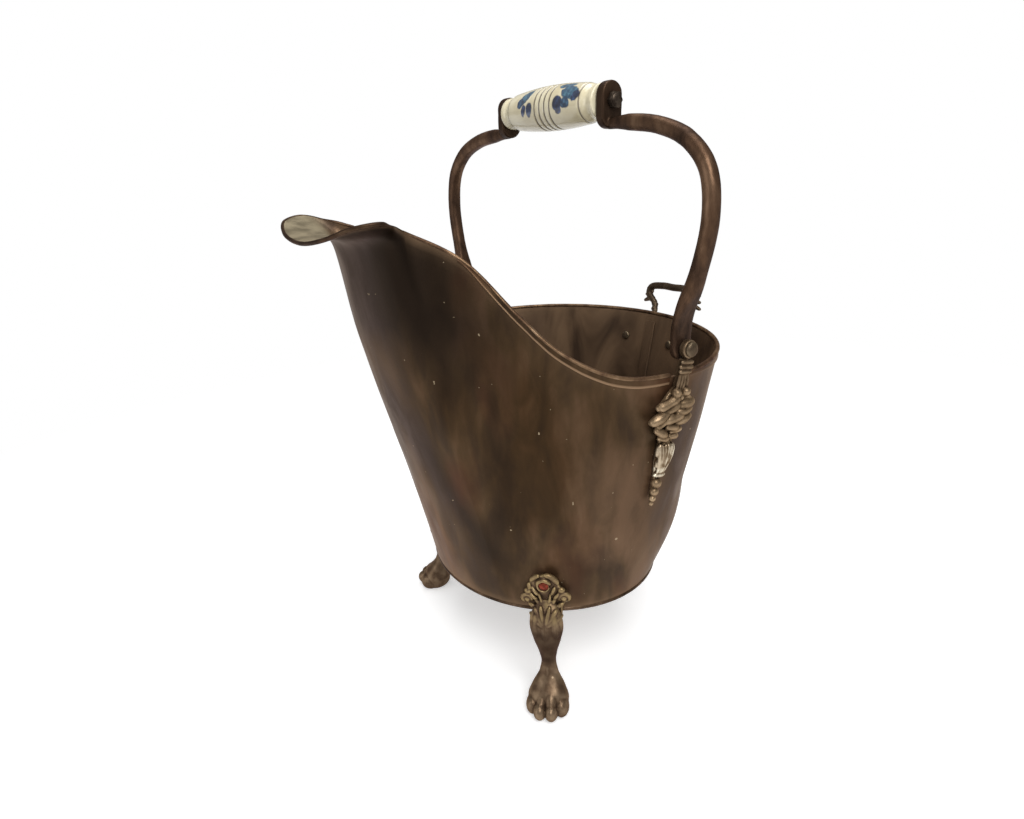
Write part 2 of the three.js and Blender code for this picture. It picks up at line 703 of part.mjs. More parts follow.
const STRAP_W = 9;
const STRAP_T = 1;
const STRAP_SLACK = 0.2; // the wall's facets bow in by this much between its rows
function seamStrap() {
  const rings = [];
  for (let i = 0; i <= 18; i++) {
    const { p, out, side } = wallFrame(BACK_U, 0.19 + 0.77 * (i / 18));
    const near = SHEET / 2 + GAP + STRAP_SLACK;
    rings.push([[-1, near], [1, near], [1, near + STRAP_T], [-1, near + STRAP_T]].map(([s, d]) => (
      p.clone().addScaledVector(side, (s * STRAP_W) / 2).addScaledVector(out, -d)
    )));
  }
  return skin(rings);
}

// ---------- tipping handle ----------
const HANDLE_BACK = FACE + 0.4;
const HANDLE_PAD_T = 2.4;
function backSeat(x, z) {
  const angle = Math.acos(x / EAR_X);
  const u = EAR_U + (BACK_STATIONS * angle) / (Math.PI / 2);
  let t = 0.5;
  for (let i = 0; i < 30; i++) t += (z - wallAt(u, t).z) / 170;
  return wallFrame(u, t);
}
const HANDLE_SEAT = backSeat(HANDLE_FOOT_X, HANDLE_FOOT_Z);

function tippingHandle() {
  const pad = new THREE.CylinderGeometry(7.6, 8.4, HANDLE_PAD_T, 16);
  pad.rotateX(Math.PI / 2);
  pad.translate(0, 0, HANDLE_BACK + HANDLE_PAD_T / 2);
  const right = place(pad, HANDLE_SEAT);
  const root = HANDLE_SEAT.p.clone().addScaledVector(HANDLE_SEAT.out, HANDLE_BACK + HANDLE_PAD_T);
  const back = (d) => BACK_Y + d;
  const half = [
    root.clone().addScaledVector(HANDLE_SEAT.up, 7), V(19.5, back(7.5), 217), V(HANDLE_WAIST, back(13), 226),
    V(16, back(17), 233), V(HANDLE_SPAN, back(20.5), 240), V(22, back(22), HANDLE_TOP_Z - 2),
    V(10, back(23), HANDLE_TOP_Z),
  ];
  const all = [...half, V(0, back(23), HANDLE_TOP_Z - 1.2), ...half.slice().reverse().map((p) => V(-p.x, p.y, p.z))];
  const path = new THREE.CatmullRomCurve3(all);
  const bulge = (t) => 1 + 0.35 * Math.exp(-(((Math.abs(t - 0.5) - 0.29) / 0.025) ** 2));
  const tube = sweep(path.getSpacedPoints(38), (t) => [HANDLE_R * bulge(t), HANDLE_R * bulge(t)], V(0, 1, 0.1), 8);
  const holes = [place(rivetHole(0, 0, 12), HANDLE_SEAT)];
  holes.push(mirrorX(holes[0]));
  return join([right, mirrorX(right), tube], holes);
}

// ---------- feet ----------
const LEAF_BACK = BASE_BEAD_R + 0.4;
function seatOnBase(angle) {
  if (angle >= 180) return BACK_U;
  let [low, high] = [0, EAR_U];
  for (let i = 0; i < 40; i++) {
    const mid = (low + high) / 2;
    if (baseAngle(mid) < rad(angle)) low = mid;
    else high = mid;
  }
  return low;
}

function footFrames(angle) {
  const u = seatOnBase(angle);
  const p = baseAt(u);
  const out = V(p.x / BASE_RX ** 2, p.y / BASE_RY ** 2, 0).normalize();
  const up = V(0, 0, 1);
  const ahead = out.clone().applyAxisAngle(up, angle < 180 ? -rad(FOOT_TURN) : 0);
  const floor = { p: V(p.x, p.y, 0), up, out: ahead, side: up.clone().cross(ahead) };
  let t = 0.05;
  for (let i = 0; i < 30; i++) t += (FOOT_LEAF_TOP - 17 - wallAt(u, t).z) / 200;
  return { floor, leaf: wallFrame(u, t) };
}

const LEAF_OUTLINE = symmetric([
  [0, 17], [5, 16], [9.5, 12], [11, 6], [FOOT_LEAF_W / 2, 0], [FOOT_LEAF_W / 2 - 1, -7], [11, -11],
  [9.5, -19], [0, -19],
]);
const LEAF_BEND = 90; // the leaf follows the round of the wall
const FOOT_RIVET_Y = 8;

function leafPlate() {
  const f = LEAF_BACK + FOOT_LEAF_T;
  const parts = [plate(LEAF_OUTLINE, FOOT_LEAF_T, LEAF_BACK)];
  for (const side of [-1, 1]) {
    parts.push(capsule(1.9, 9, side * 3.4, -5, f + 0.3, side * 62, 5));
    parts.push(capsule(1.9, 8, side * 7.4, -7.5, f + 0.3, side * 40, 5));
    parts.push(capsule(1.7, 7, side * 7.5, 7.5, f, side * 118, 5));
    parts.push(ball(3.6, side * (FOOT_LEAF_W / 2 - 4), -3.5, f - 0.2, 0.7));
    parts.push(ball(1.9, side * 4, 13.5, f, 0.8, 5));
  }
  parts.push(capsule(1.6, 8, 0, -9, f + 0.8, 90));
  parts.push(ball(2.2, 0, 14.5, f, 0.8, 5));
  const body = join(parts, [rivetHole(0, FOOT_RIVET_Y, 20)]);
  const position = body.attributes.position;
  for (let i = 0; i < position.count; i++) {
    position.setZ(i, position.getZ(i) - position.getX(i) ** 2 / (2 * LEAF_BEND));
  }
  return body;
}

// down the leg: height, distance out, half depth, half width
const LEG = [
  { z: 76, r: 7.6, deep: 2.6, wide: 7 }, { z: 70, r: 9, deep: 4.6, wide: 10.6 },
  { z: 62, r: 10, deep: 6, wide: 11.4 }, { z: 52, r: 10.6, deep: 6, wide: 9.4 },
  { z: 43, r: 10.2, deep: 5.2, wide: 6.6 }, { z: 34, r: 10, deep: 4.6, wide: 5.1 },
  { z: 26, r: 11.4, deep: 5.2, wide: 6.4 }, { z: 18, r: 14, deep: 7.6, wide: 10 },
  { z: 10, r: 17, deep: 10, wide: 12.4 }, { z: -3, r: 18, deep: 11, wide: 12.2 },
];
const TOES = [-10.2, -3.8, 3.8, 10.2];

function foot(angle) {
  const { floor, leaf } = footFrames(angle);
  const points = LEG.map((s) => V(0, s.z, s.r));
  const leg = sweep(points, (t) => {
    const s = LEG[Math.round(t * (LEG.length - 1))];
    return [s.deep, s.wide];
  }, V(1, 0, 0), 10);
  const parts = [leg, ball(5.6, 0, 5.2, PAW_REACH - 10, 1, 6)];
  for (const x of TOES) {
    const far = PAW_REACH - 5.2 - TOE_SWEEP * x * x;
    parts.push(ball(5.2, x, 4.4, far, 1.15, 7), ball(2.3, x * 1.1, 1.6, far + 5.2, 1, 5));
    const knuckle = new THREE.CapsuleGeometry(3.2, 10, 1, 5);
    knuckle.rotateX(rad(-52));
    knuckle.translate(x * 0.8, 10.5, far - 4);
    parts.push(knuckle);
  }
  const floorCut = new THREE.BoxGeometry(80, 20, 80);
  floorCut.translate(0, -10, 10);
  return join([...parts.map((g) => place(g, floor)), place(leafPlate(), leaf)], [place(floorCut, floor)]);
}

// ---------- assembly ----------
const FEET = { front_right: FOOT_ANGLE_RIGHT, front_left: FOOT_ANGLE_LEFT, back: 180 };
const onLeft = (key, g) => (key.endsWith('left') ? mirrorX(g) : g);
const stackFoot = LEAF_BACK + FOOT_LEAF_T + GAP;
const footLeaf = (key) => footFrames(FEET[key]).leaf;
const footHole = (key) => onLeft(key, place(rivetHole(0, FOOT_RIVET_Y, 8), footLeaf(key)));
const earStud = (q) => place(rivet(0, q, wallRise(4, q - 4, q + 4)[0] + INSIDE, EAR_STUD, false), EAR);
const handleRivet = place(rivet(0, 0, INSIDE, HANDLE_BACK + HANDLE_PAD_T + GAP), HANDLE_SEAT);

const holesRight = [
  ...EAR_STUDS.map((q) => place(rivetHole(0, q, 8), EAR)),
  place(rivetHole(0, 0, 8), HANDLE_SEAT),
];
const wallHoles = [...holesRight, ...holesRight.map(mirrorX), ...Object.keys(FEET).map(footHole)];

add('body_wall', join([wallShell()], wallHoles), 'patina');
add('base_pan', basePan(), 'patina');
add('base_bead', ovalRing(BASE_BEAD_R), 'edge');
add('back_seam_strap', seamStrap(), 'patina');
add('rim_bead_front', wire(-pastEar(-1), pastEar(-1), RIM_BEAD_R, 3), 'edge');
add('rim_bead_back', wire(pastEar(1), 2 * BACK_U - pastEar(1), RIM_BEAD_R, 3), 'edge');

const rightArm = bailArm();
const pairs = {
  ear: [earBody, 'casting'],
  pivot_pin: [alongX(pivotPin, 0), 'casting'],
  pivot_washer: [alongX(washer(PIN_R + PIN_FIT, WASHER_R, WASHER_T, ARM_FACE + GAP + 0.1), 0), 'steel'],
  ear_stud_upper: [earStud(EAR_STUDS[0]), 'casting'],
  ear_stud_lower: [earStud(EAR_STUDS[1]), 'casting'],
  bail_arm: [rightArm, 'arm'],
  rod_nut: [lean(rodNut()), 'steel'],
  handle_rivet: [handleRivet, 'casting'],
};
for (const [name, [geometry, colour]] of Object.entries(pairs)) {
  add(`${name}_right`, geometry, colour);
  add(`${name}_left`, mirrorX(geometry), colour);
}
for (const [key, angle] of Object.entries(FEET)) {
  add(`foot_${key}`, onLeft(key, foot(angle)), 'foot');
  const rivetHere = place(rivet(0, FOOT_RIVET_Y, INSIDE, stackFoot), footLeaf(key));
  add(`foot_rivet_${key}`, onLeft(key, rivetHere), 'foot');
}
add('tipping_handle', tippingHandle(), 'casting');
add('grip', lean(grip), 'ceramic');
add('tie_rod', lean(tieRod), 'steel');

// the origin is the bottom centre of the whole part's bounding box
const box = new THREE.Box3().setFromObject(group);
const centre = box.getCenter(V(0, 0, 0));
for (const mesh of group.children) mesh.geometry.translate(-centre.x, -centre.y, -box.min.z);

export default group;
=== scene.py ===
"""Dresses the coal scuttle: patinated wall, cast ears, handle and feet, browned bail and glazed grip."""
import math

import bmesh
import bpy
from bpy.props import FloatProperty, FloatVectorProperty, IntProperty, PointerProperty
from mathutils import Matrix, Vector, noise


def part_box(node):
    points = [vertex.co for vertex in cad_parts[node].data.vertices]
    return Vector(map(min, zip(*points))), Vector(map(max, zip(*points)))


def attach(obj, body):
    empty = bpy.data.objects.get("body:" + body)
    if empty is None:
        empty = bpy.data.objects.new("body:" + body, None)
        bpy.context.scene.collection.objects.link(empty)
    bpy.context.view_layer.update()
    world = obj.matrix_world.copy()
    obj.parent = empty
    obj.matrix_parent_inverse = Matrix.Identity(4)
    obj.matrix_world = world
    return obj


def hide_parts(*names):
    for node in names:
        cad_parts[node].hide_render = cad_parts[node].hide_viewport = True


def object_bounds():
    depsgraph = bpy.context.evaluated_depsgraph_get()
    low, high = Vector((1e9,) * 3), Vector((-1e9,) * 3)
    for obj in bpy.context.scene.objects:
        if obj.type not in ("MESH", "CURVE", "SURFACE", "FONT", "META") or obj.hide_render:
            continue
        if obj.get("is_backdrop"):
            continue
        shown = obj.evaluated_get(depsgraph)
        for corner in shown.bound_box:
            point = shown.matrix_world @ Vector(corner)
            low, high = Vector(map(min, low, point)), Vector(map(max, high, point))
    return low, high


bl_info = {
    "name": "Coal scuttle finish",
    "version": (1, 0, 0),
    "blender": (4, 5, 0),
    "location": "View3D > Sidebar > Scuttle",
    "description": "Builds the visible pieces and materials of the coal scuttle over its fixed frame",
    "category": "Object",
}

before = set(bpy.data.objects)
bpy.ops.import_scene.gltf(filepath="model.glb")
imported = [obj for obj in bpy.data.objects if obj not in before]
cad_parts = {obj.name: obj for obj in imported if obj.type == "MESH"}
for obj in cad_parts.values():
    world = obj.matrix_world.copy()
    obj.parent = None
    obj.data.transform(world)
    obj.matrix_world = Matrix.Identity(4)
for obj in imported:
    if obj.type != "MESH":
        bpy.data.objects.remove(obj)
CAD_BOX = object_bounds()
MM = 0.001
bead_low, bead_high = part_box("base_bead")
SHIFT = (bead_low.y + bead_high.y) / 2 / MM  # the base oval's middle, from the frame's origin
TO_FRAME = Matrix.Scale(MM, 4) @ Matrix.Translation((0, SHIFT, 0))

# sizes shared with the frame, in millimetres, measured from the middle of the base oval
BASE_Z, BASE_RX, BASE_RY = 68.8, 95.0, 79.2
EAR_X, EAR_Y, EAR_Z = 122.6, 28.8, 230.0
BACK_Y, BACK_Z = 127.0, 230.0
RIM_STATIONS = {
    "lip tip": (0, -151.5, 323),
    "lip nose": (33, -149.2, 326.4),
    "lip corner": (54, -141, 332),
    "lip heel": (60, -127.5, 333.2),
    "throat": (37, -104.5, 325),
    "throat side": (55.8, -79, 307),
    "slope": (79.2, -58.6, 273.6),
    "shoulder": (96, -43, 252),
    "side": (114, -16, 235),
}
BACK_STATIONS = 5
THROAT_STATION, THROAT_Y, THROAT_Z = 4, -112.0, 326.0
LIP_TURN, WALL_BELLY, NECK_BELLY, NECK_STATION = 7, 2.6, 11.5, 6
LOW_BELLY, LOW_TOP, BEND_REACH = 4.5, 0.45, 0.14
SHEET = 1.6
RIM_BEAD_R, BASE_BEAD_R, EAR_BREAK = 2.0, 1.7, 6.2
PIVOT = Vector((0, 25.1, 246.5))
BAIL_TILT, PIN_R, PIN_HOLE_R = 4.1, 2.2, 2.5
ARM_X, ARM_T, ARM_W, ARM_EYE_R = 122.4, 4.6, 15.0, 7.5
EYE_X, EYE_W, EYE_R = 128.6, 4.4, 5.6
EAR_SEAT_Y, EAR_PLATE = 22.5, 2.4
GRIP_V, GRIP_HALF, GRIP_GAP = 140.9, 49.6, 0.8
ARM_R, ARM_END_R, ARM_DROP = 4.9, 3.5, 12.9
TAB_W, TAB_T = 16.0, 7.0
NUT_FACE, NUT_R, NUT_REACH, ROD_R = GRIP_HALF + GRIP_GAP + TAB_T + 0.3, 5.2, 4.6, 2.4
HANDLE_Z, LEAF_Z = 209, 84
# the grip's painting: its turned lines sit a little to the right of its middle, and one spray faces forward
GRIP_LINES, GRIP_RING, GRIP_MID_R, GRIP_FACE = (-4.6, 0.7, 6.0, 11.3), 38.4, 14.2, 66
FOLD_DROP, FOLD_STATION = 5.4, 4.9
RIM_FINE, COLUMN_STEPS, WALL_ROWS, WIRE_CAP = 8, 60, 46, 5


# ---------- small helpers ----------
def linear(code):
    """An sRGB hex colour as linear red, green, blue and alpha."""
    parts = [int(code[i:i + 2], 16) / 255 for i in (0, 2, 4)]
    return tuple(c / 12.92 if c <= 0.04045 else ((c + 0.055) / 1.055) ** 2.4 for c in parts) + (1.0,)


def smooth(a, b, x):
    """0 before a, 1 past b and a soft step between them."""
    t = min(max((x - a) / (b - a), 0.0), 1.0)
    return t * t * (3 - 2 * t)


def bell(x, wide):
    """1 at nought, and less to both sides."""
    return math.exp(-((x / wide) ** 2))


def spline(points, closed=False):
    """A centripetal curve through points; gives the place at a station counted along it."""
    points = [Vector(p) for p in points]
    count = len(points)

    def fetch(i):
        if closed:
            return points[i % count]
        if i < 0:
            return 2 * points[0] - points[1]
        if i >= count:
            return 2 * points[-1] - points[-2]
        return points[i]

    def at(s):
        if closed:
            s %= count
        i = min(int(math.floor(s)), count - (1 if closed else 2))
        w = s - i
        p0, p1, p2, p3 = (fetch(i + k) for k in (-1, 0, 1, 2))
        spans = ((p0, p1), (p1, p2), (p2, p3))
        d0, d1, d2 = (max((b - a).length_squared ** 0.25, 1e-4) for a, b in spans)
        t1 = ((p1 - p0) / d0 - (p2 - p0) / (d0 + d1) + (p2 - p1) / d1) * d1
        t2 = ((p2 - p1) / d1 - (p3 - p1) / (d1 + d2) + (p3 - p2) / d2) * d1
        return p1 + t1 * w + (3 * (p2 - p1) - 2 * t1 - t2) * w * w + (2 * (p1 - p2) + t1 + t2) * w ** 3

    return at


def lengths(points):
    """How far along a run of points each one lies."""
    runs = [0.0]
    for a, b in zip(points, points[1:]):
        runs.append(runs[-1] + (b - a).length)
    return runs


def evenly(at, stations, count, fine=24):
    """count + 1 points spaced evenly by length along a spline."""
    raw = [at(stations * i / (stations * fine)) for i in range(stations * fine + 1)]
    runs = lengths(raw)
    found, k = [], 0
    for i in range(count + 1):
        want = runs[-1] * i / count
        while k < len(runs) - 2 and runs[k + 1] < want:
            k += 1
        found.append(raw[k].lerp(raw[k + 1], (want - runs[k]) / max(runs[k + 1] - runs[k], 1e-9)))
    return found


def loft(bm, rings, closed=False):
    """Extrudes one closed outline from place to place. Returns the rows of vertices."""
    count = len(rings[0])
    first = bmesh.ops.create_circle(bm, cap_ends=False, segments=count, radius=1)["verts"]
    for v, p in zip(first, rings[0]):
        v.co = p
    rows = [first]
    edges = [bm.edges.get((first[j], first[(j + 1) % count])) for j in range(count)]
    starting = edges
    for ring in rings[1:]:
        made = bmesh.ops.extrude_edge_only(bm, edges=edges)["geom"]
        fresh = {v for v in made if isinstance(v, bmesh.types.BMVert)}
        row = []
        for v in rows[-1]:
            row.append(next(e.other_vert(v) for e in v.link_edges if e.other_vert(v) in fresh))
        for v, p in zip(row, ring):
            v.co = p
        edges = [bm.edges.get((row[j], row[(j + 1) % count])) for j in range(count)]
        rows.append(row)
    if closed:
        bmesh.ops.bridge_loops(bm, edges=edges + starting)
    else:
        bmesh.ops.holes_fill(bm, edges=edges, sides=0)
        bmesh.ops.holes_fill(bm, edges=starting, sides=0)
    return rows


def sweep(bm, points, sizes, normal, sides=24, square=None):
    """Lofts an oval along points that lie near a plane; square above 2 flattens its sides."""
    rings = []
    last = len(points) - 1
    for i, p in enumerate(points):
        t = i / last
        along = (points[min(i + 1, last)] - points[max(i - 1, 0)]).normalized()
        across = normal.cross(along).normalized()
        wide = along.cross(across).normalized()
        a, b = sizes(t)
        power = 2 / (square(t) if square else 2)
        ring = []
        for k in range(sides):
            angle = 2 * math.pi * k / sides
            c, s = math.cos(angle), math.sin(angle)
            c = math.copysign(abs(c) ** power, c)
            s = math.copysign(abs(s) ** power, s)
            ring.append(p + across * a * c + wide * b * s)
        rings.append(ring)
    loft(bm, rings)


def ball(bm, place, sizes, turn=(0, 0, 0), fine=16):
    """A rounded lump with three half sizes, turned by degrees about its own axes."""
    spin = Matrix.Identity(4)
    for axis, angle in zip("XYZ", turn):
        spin = Matrix.Rotation(math.radians(angle), 4, axis) @ spin
    matrix = Matrix.Translation(place) @ spin @ Matrix.Diagonal((*sizes, 1))
    bmesh.ops.create_uvsphere(bm, u_segments=fine, v_segments=fine // 2 + 2, radius=1, matrix=matrix)


def roll(bm, start, end, r, bow=0.0, blunt=3, steps=14):
    """A soft rolled fold between two places, thickest in the middle; bow lifts the middle outward."""
    a, b = Vector(start), Vector(end)
    along = (b - a).normalized()
    side = Vector((0, 0, 1)) if abs(along.z) < 0.9 else Vector((0, 1, 0))
    points, half = [], r * 0.9
    a, b = a - along * half, b + along * half
    for i in range(steps + 1):
        t = i / steps
        points.append(a.lerp(b, t) + Vector((0, 0, bow * math.sin(math.pi * t))))
    lumps = noise.noise(a / 3)

    def sizes(t):
        full = math.sqrt(max(1 - abs(2 * t - 1) ** blunt, 0.02)) * (1 + 0.12 * math.sin(7 * t + 9 * lumps))
        return r * full, r * full

    sweep(bm, points, sizes, side, 14)


def curl(bm, middle, radius, first, last, r, steps=16):
    """A rolled crescent along an arc in the plane of a casting's face, in degrees, fading to its ends."""
    points = []
    for i in range(steps + 1):
        a = math.radians(first + (last - first) * i / steps)
        points.append(middle + Vector((radius * math.cos(a), radius * math.sin(a), 0)))

    def sizes(t):
        return (r * math.sqrt(max(1 - abs(2 * t - 1) ** 3, 0.04)),) * 2

    sweep(bm, points, sizes, Vector((0, 0, 1)), 14)


def turned(bm, profile, steps=48):
    """Spins a profile of (along, radius) pairs about the X axis."""
    verts = [bm.verts.new((x, 0, r)) for x, r in profile]
    edges = [bm.edges.new(pair) for pair in zip(verts, verts[1:])]
    bmesh.ops.spin(bm, geom=verts + edges, cent=(0, 0, 0), axis=(1, 0, 0), dvec=(0, 0, 0),
                   angle=2 * math.pi, steps=steps, use_merge=True, use_duplicate=False)
    bmesh.ops.remove_doubles(bm, verts=bm.verts[:], dist=1e-4)


def stand_up(bm):
    """Turns a shape that was spun about X so that its axis stands on Z."""
    bmesh.ops.rotate(bm, matrix=Matrix.Rotation(-math.pi / 2, 3, "Y"), verts=bm.verts[:])


def ring_profile(start, end, r, ease):
    """The profile of a flat ring with a pin's hole and eased outer edges."""
    return [(start, PIN_HOLE_R), (start, r - ease), (start + ease, r), (end - ease, r), (end, r - ease),
            (end, PIN_HOLE_R), (start, PIN_HOLE_R)]


def both_sides(half):
    """A whole outline from its right half."""
    return half + [(-x, y) for x, y in half[::-1] if x > 0]


def slab(bm, outline, thick, bevel):
    """A flat plate from an outline in X and Y, standing on Z = 0, with rounded edges."""
    verts = [bm.verts.new((x, y, 0)) for x, y in outline]
    face = bm.faces.new(verts)
    made = bmesh.ops.extrude_face_region(bm, geom=[face])["geom"]
    lifted = [v for v in made if isinstance(v, bmesh.types.BMVert)]
    bmesh.ops.translate(bm, vec=(0, 0, thick), verts=lifted)
    edges = {e for v in verts + lifted for e in v.link_edges}
    flat = [e for e in edges if abs(e.verts[0].co.z - e.verts[1].co.z) < 1e-6]
    ease_edges(bm, flat, bevel)


def ease_edges(bm, edges, width):
    """Rounds edges to a width."""
    bmesh.ops.bevel(bm, geom=edges, offset=width, segments=2, profile=0.5, affect="EDGES", material=-1)


def move(bm, matrix):
    """Carries a whole shape to its place."""
    bmesh.ops.transform(bm, matrix=matrix, verts=bm.verts[:])


def merge(bm, other):
    """Moves the shapes of another bmesh into this one."""
    temp = bpy.data.meshes.new("part")
    other.to_mesh(temp)
    other.free()
    bm.from_mesh(temp)
    bpy.data.meshes.remove(temp)


def placed(bm, matrix, make, *shape):
    """Makes a shape with one of the functions above, carries it to its place and adds it."""
    part = bmesh.new()
    make(part, *shape)
    move(part, matrix)
    merge(bm, part)


def mirrored(bm):
    """A left-hand copy of a right-hand shape."""
    copy = bm.copy()
    bmesh.ops.scale(copy, vec=(-1, 1, 1), verts=copy.verts[:])
    bmesh.ops.reverse_faces(copy, faces=copy.faces[:])
    return copy


def finish(name, bm, look, body, nodes, cast=0, soften=2, bend=40, paint=None):
    """Turns a shape in millimetres into a riding piece.

    cast is the grain in millimetres that fuses its parts. paint gives the finish's own attributes, each worked
    out from a place on the piece in millimetres.
    """
    bmesh.ops.recalc_face_normals(bm, faces=bm.faces[:])
    move(bm, TO_FRAME)
    mesh = bpy.data.meshes.new(name)
    bm.to_mesh(mesh)
    bm.free()
    piece = bpy.data.objects.new(name, mesh)
    bpy.context.scene.collection.objects.link(piece)
    if cast:
        fuse = piece.modifiers.new("fuse", "REMESH")
        fuse.mode = "VOXEL"
        fuse.voxel_size = cast * MM
        ease = piece.modifiers.new("ease", "SMOOTH")
        ease.factor = 0.6
        ease.iterations = soften
        evaluated = piece.evaluated_get(bpy.context.evaluated_depsgraph_get())
        fused = bpy.data.meshes.new_from_object(evaluated)
        piece.modifiers.clear()
        piece.data = fused
        bpy.data.meshes.remove(mesh)
        fused.name = name
    piece.data.materials.clear()
    piece.data.materials.append(finish_named(look))
    for polygon in piece.data.polygons:
        polygon.use_smooth = True
    if not cast:
        piece.data.set_sharp_from_angle(angle=math.radians(bend))
    for layer, value_at in (paint or {}).items():
        values = piece.data.attributes.new(layer, "FLOAT", "POINT").data
        for vertex, value in zip(piece.data.vertices, values):
            value.value = value_at(vertex.co / MM - Vector((0, SHIFT, 0)))
    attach(piece, body)
    if nodes:
        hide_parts(*nodes)


# ---------- the wall's own surface ----------
def rim_outline():
    """The rim's stations from the lip's tip round the right ear and the back to the left side."""
    half = [Vector(p) for p in RIM_STATIONS.values()]
    for i in range(BACK_STATIONS + 1):
        t = math.pi / 2 * i / BACK_STATIONS
        half.append(Vector((EAR_X * math.cos(t), EAR_Y + (BACK_Y - EAR_Y) * math.sin(t),
                            EAR_Z + (BACK_Z - EAR_Z) * math.sin(t) ** 2)))
    return half + [Vector((-p.x, p.y, p.z)) for p in half[-2:0:-1]]


EAR_U = len(RIM_STATIONS)
BACK_U = EAR_U + BACK_STATIONS
rim_at = spline(rim_outline(), closed=True)
rim_runs = lengths([rim_at(i / RIM_FINE) for i in range(EAR_U * RIM_FINE + 1)])


def base_angle(u):
    """Where a station of the rim comes down to on the base oval, in radians from the spout."""
    if u > BACK_U:
        return -base_angle(2 * BACK_U - u)
    if u < 0:
        return -base_angle(-u)
    if u >= EAR_U:
        return math.pi / 2 * (1 + (u - EAR_U) / BACK_STATIONS)
    k = min(int(u * RIM_FINE), EAR_U * RIM_FINE - 1)
    run = rim_runs[k] + (rim_runs[k + 1] - rim_runs[k]) * (u * RIM_FINE - k)
    return math.pi / 2 * run / rim_runs[-1]


def base_at(u):
    """The foot of a column, on the base oval."""
    psi = base_angle(u)
    return Vector((BASE_RX * math.sin(psi), -BASE_RY * math.cos(psi), BASE_Z))


def throat_at(u):
    """Where a column under the lip turns over."""
    end = rim_at(math.copysign(THROAT_STATION, u))
    phi = math.pi / 2 * abs(u / THROAT_STATION)
    front = math.cos(phi)
    return Vector((end.x * math.sin(phi), end.y + (THROAT_Y - end.y) * front,
                   end.z + (THROAT_Z - end.z) * front))


columns = {}


def column(u):
    """One column of the wall: points, their lengths, outward way, neck share, back share and bend."""
    u = u - 2 * BACK_U if u > BACK_U else u
    key = round(u, 5)
    if key not in columns:
        foot, top = base_at(u), rim_at(u)
        lip = abs(u) < THROAT_STATION
        mid = throat_at(u or 1e-6) if lip else foot.lerp(top, 0.5)
        w = LIP_TURN if lip else 1
        points = []
        for i in range(COLUMN_STEPS + 1):
            t = i / COLUMN_STEPS
            a, b, c = (1 - t) ** 2, 2 * t * (1 - t) * w, t * t
            points.append((foot * a + mid * b + top * c) / (a + b + c))
        turn = mid if lip else top
        bend = (turn - foot).length / ((turn - foot).length + (top - turn).length)
        out = Vector((foot.x / BASE_RX ** 2, foot.y / BASE_RY ** 2, 0)).normalized()
        behind = smooth(0, 0.7, -math.cos(base_angle(u)))
        front = max(0.0, 1 - (u / NECK_STATION) ** 2)
        columns[key] = (points, lengths(points), out, front, behind, bend)
    return columns[key]


def wall_at(u, t):
    """A place on the wall's middle surface: a station of the rim, and a share of the way up."""
    points, runs, out, front, behind, _ = column(u)
    run = t * runs[-1]
    i = 1
    while i < COLUMN_STEPS and runs[i] < run:
        i += 1
    p = points[i - 1].lerp(points[i], (run - runs[i - 1]) / (runs[i] - runs[i - 1]))
    t = min(t, 1)
    low = LOW_BELLY * behind * max(math.sin(math.pi * min(t / LOW_TOP, 1)), 0) ** 1.4
    high = NECK_BELLY * front * math.sin(math.pi * t * t)
    return p + out * (WALL_BELLY * math.sin(math.pi * t) + high + low)


def crowded(u, k):
    """Row places of a column, closer together where it turns into the lip."""
    bend = column(u)[5]
    reach = min(BEND_REACH, 1 - bend)
    if reach <= 0 or abs(k - bend) >= reach:
        return k
    return k - 0.75 * reach * math.sin(math.pi * (k - bend) / reach) / math.pi


def wall_frame(u, t, e=0.004):
    """Place, up, outward and sideways directions of the wall's middle surface."""
    up = (wall_at(u, min(t + e, 1)) - wall_at(u, max(t - e, 0))).normalized()
    around = (wall_at(u + e, t) - wall_at(u - e, t)).normalized()
    out = around.cross(up).normalized()
    return wall_at(u, t), up, out, up.cross(out).normalized()


def frame_matrix(p, up, out, side):
    """Carries (side, up, out) coordinates to a place on the wall."""
    return Matrix.Translation(p) @ Matrix((side, up, out)).transposed().to_4x4()


def station_where(low, still_true):
    """The station between low and the ear at which a test stops being true."""
    high = EAR_U
    for _ in range(40):
        mid = (low + high) / 2
        low, high = (mid, high) if still_true(mid) else (low, mid)
    return low


def share_up(u, z, guess, length):
    """How far up a column a height lies, stepping from a first guess by the column's rough length."""
    for _ in range(30):
        guess += (z - wall_at(u, guess).z) / length
    return guess


ear_u = station_where(THROAT_STATION, lambda u: rim_at(u).y < EAR_SEAT_Y)
_, _, ear_out, _ = wall_frame(ear_u, 0.72)
lean = Vector((0, 0.18, 1))
ear_up = (lean - ear_out * lean.dot(ear_out)).normalized()
EAR_PLACE = frame_matrix(rim_at(ear_u), ear_up, ear_out, ear_up.cross(ear_out).normalized())


# ---------- materials ----------
def add(tree, kind, inputs=None, stops=(), **settings):
    """Adds a node with its settings and ramp stops; inputs take values, hex colours, nodes or sockets."""
    made = tree.nodes.new("ShaderNode" + kind)
    for key, value in settings.items():
        setattr(made, key, value)
    if stops:
        marks = made.color_ramp.elements
        marks[0].position, marks[1].position = stops[0][0], stops[-1][0]
        marks[0].color, marks[1].color = linear(stops[0][1]), linear(stops[-1][1])
        for position, code in stops[1:-1]:
            marks.new(position).color = linear(code)
    for key, value in (inputs or {}).items():
        if isinstance(value, str):
            value = linear(value)
        if isinstance(value, bpy.types.Node):
            value = next(socket for socket in value.outputs if socket.enabled)
        if isinstance(value, bpy.types.NodeSocket):
            tree.links.new(value, made.inputs[key])
        else:
            made.inputs[key].default_value = value
    return made


def per_metre(size_mm):
    """How many lumps of this size lie in a metre, which is what a noise scale counts."""
    return 1 / (size_mm * MM)


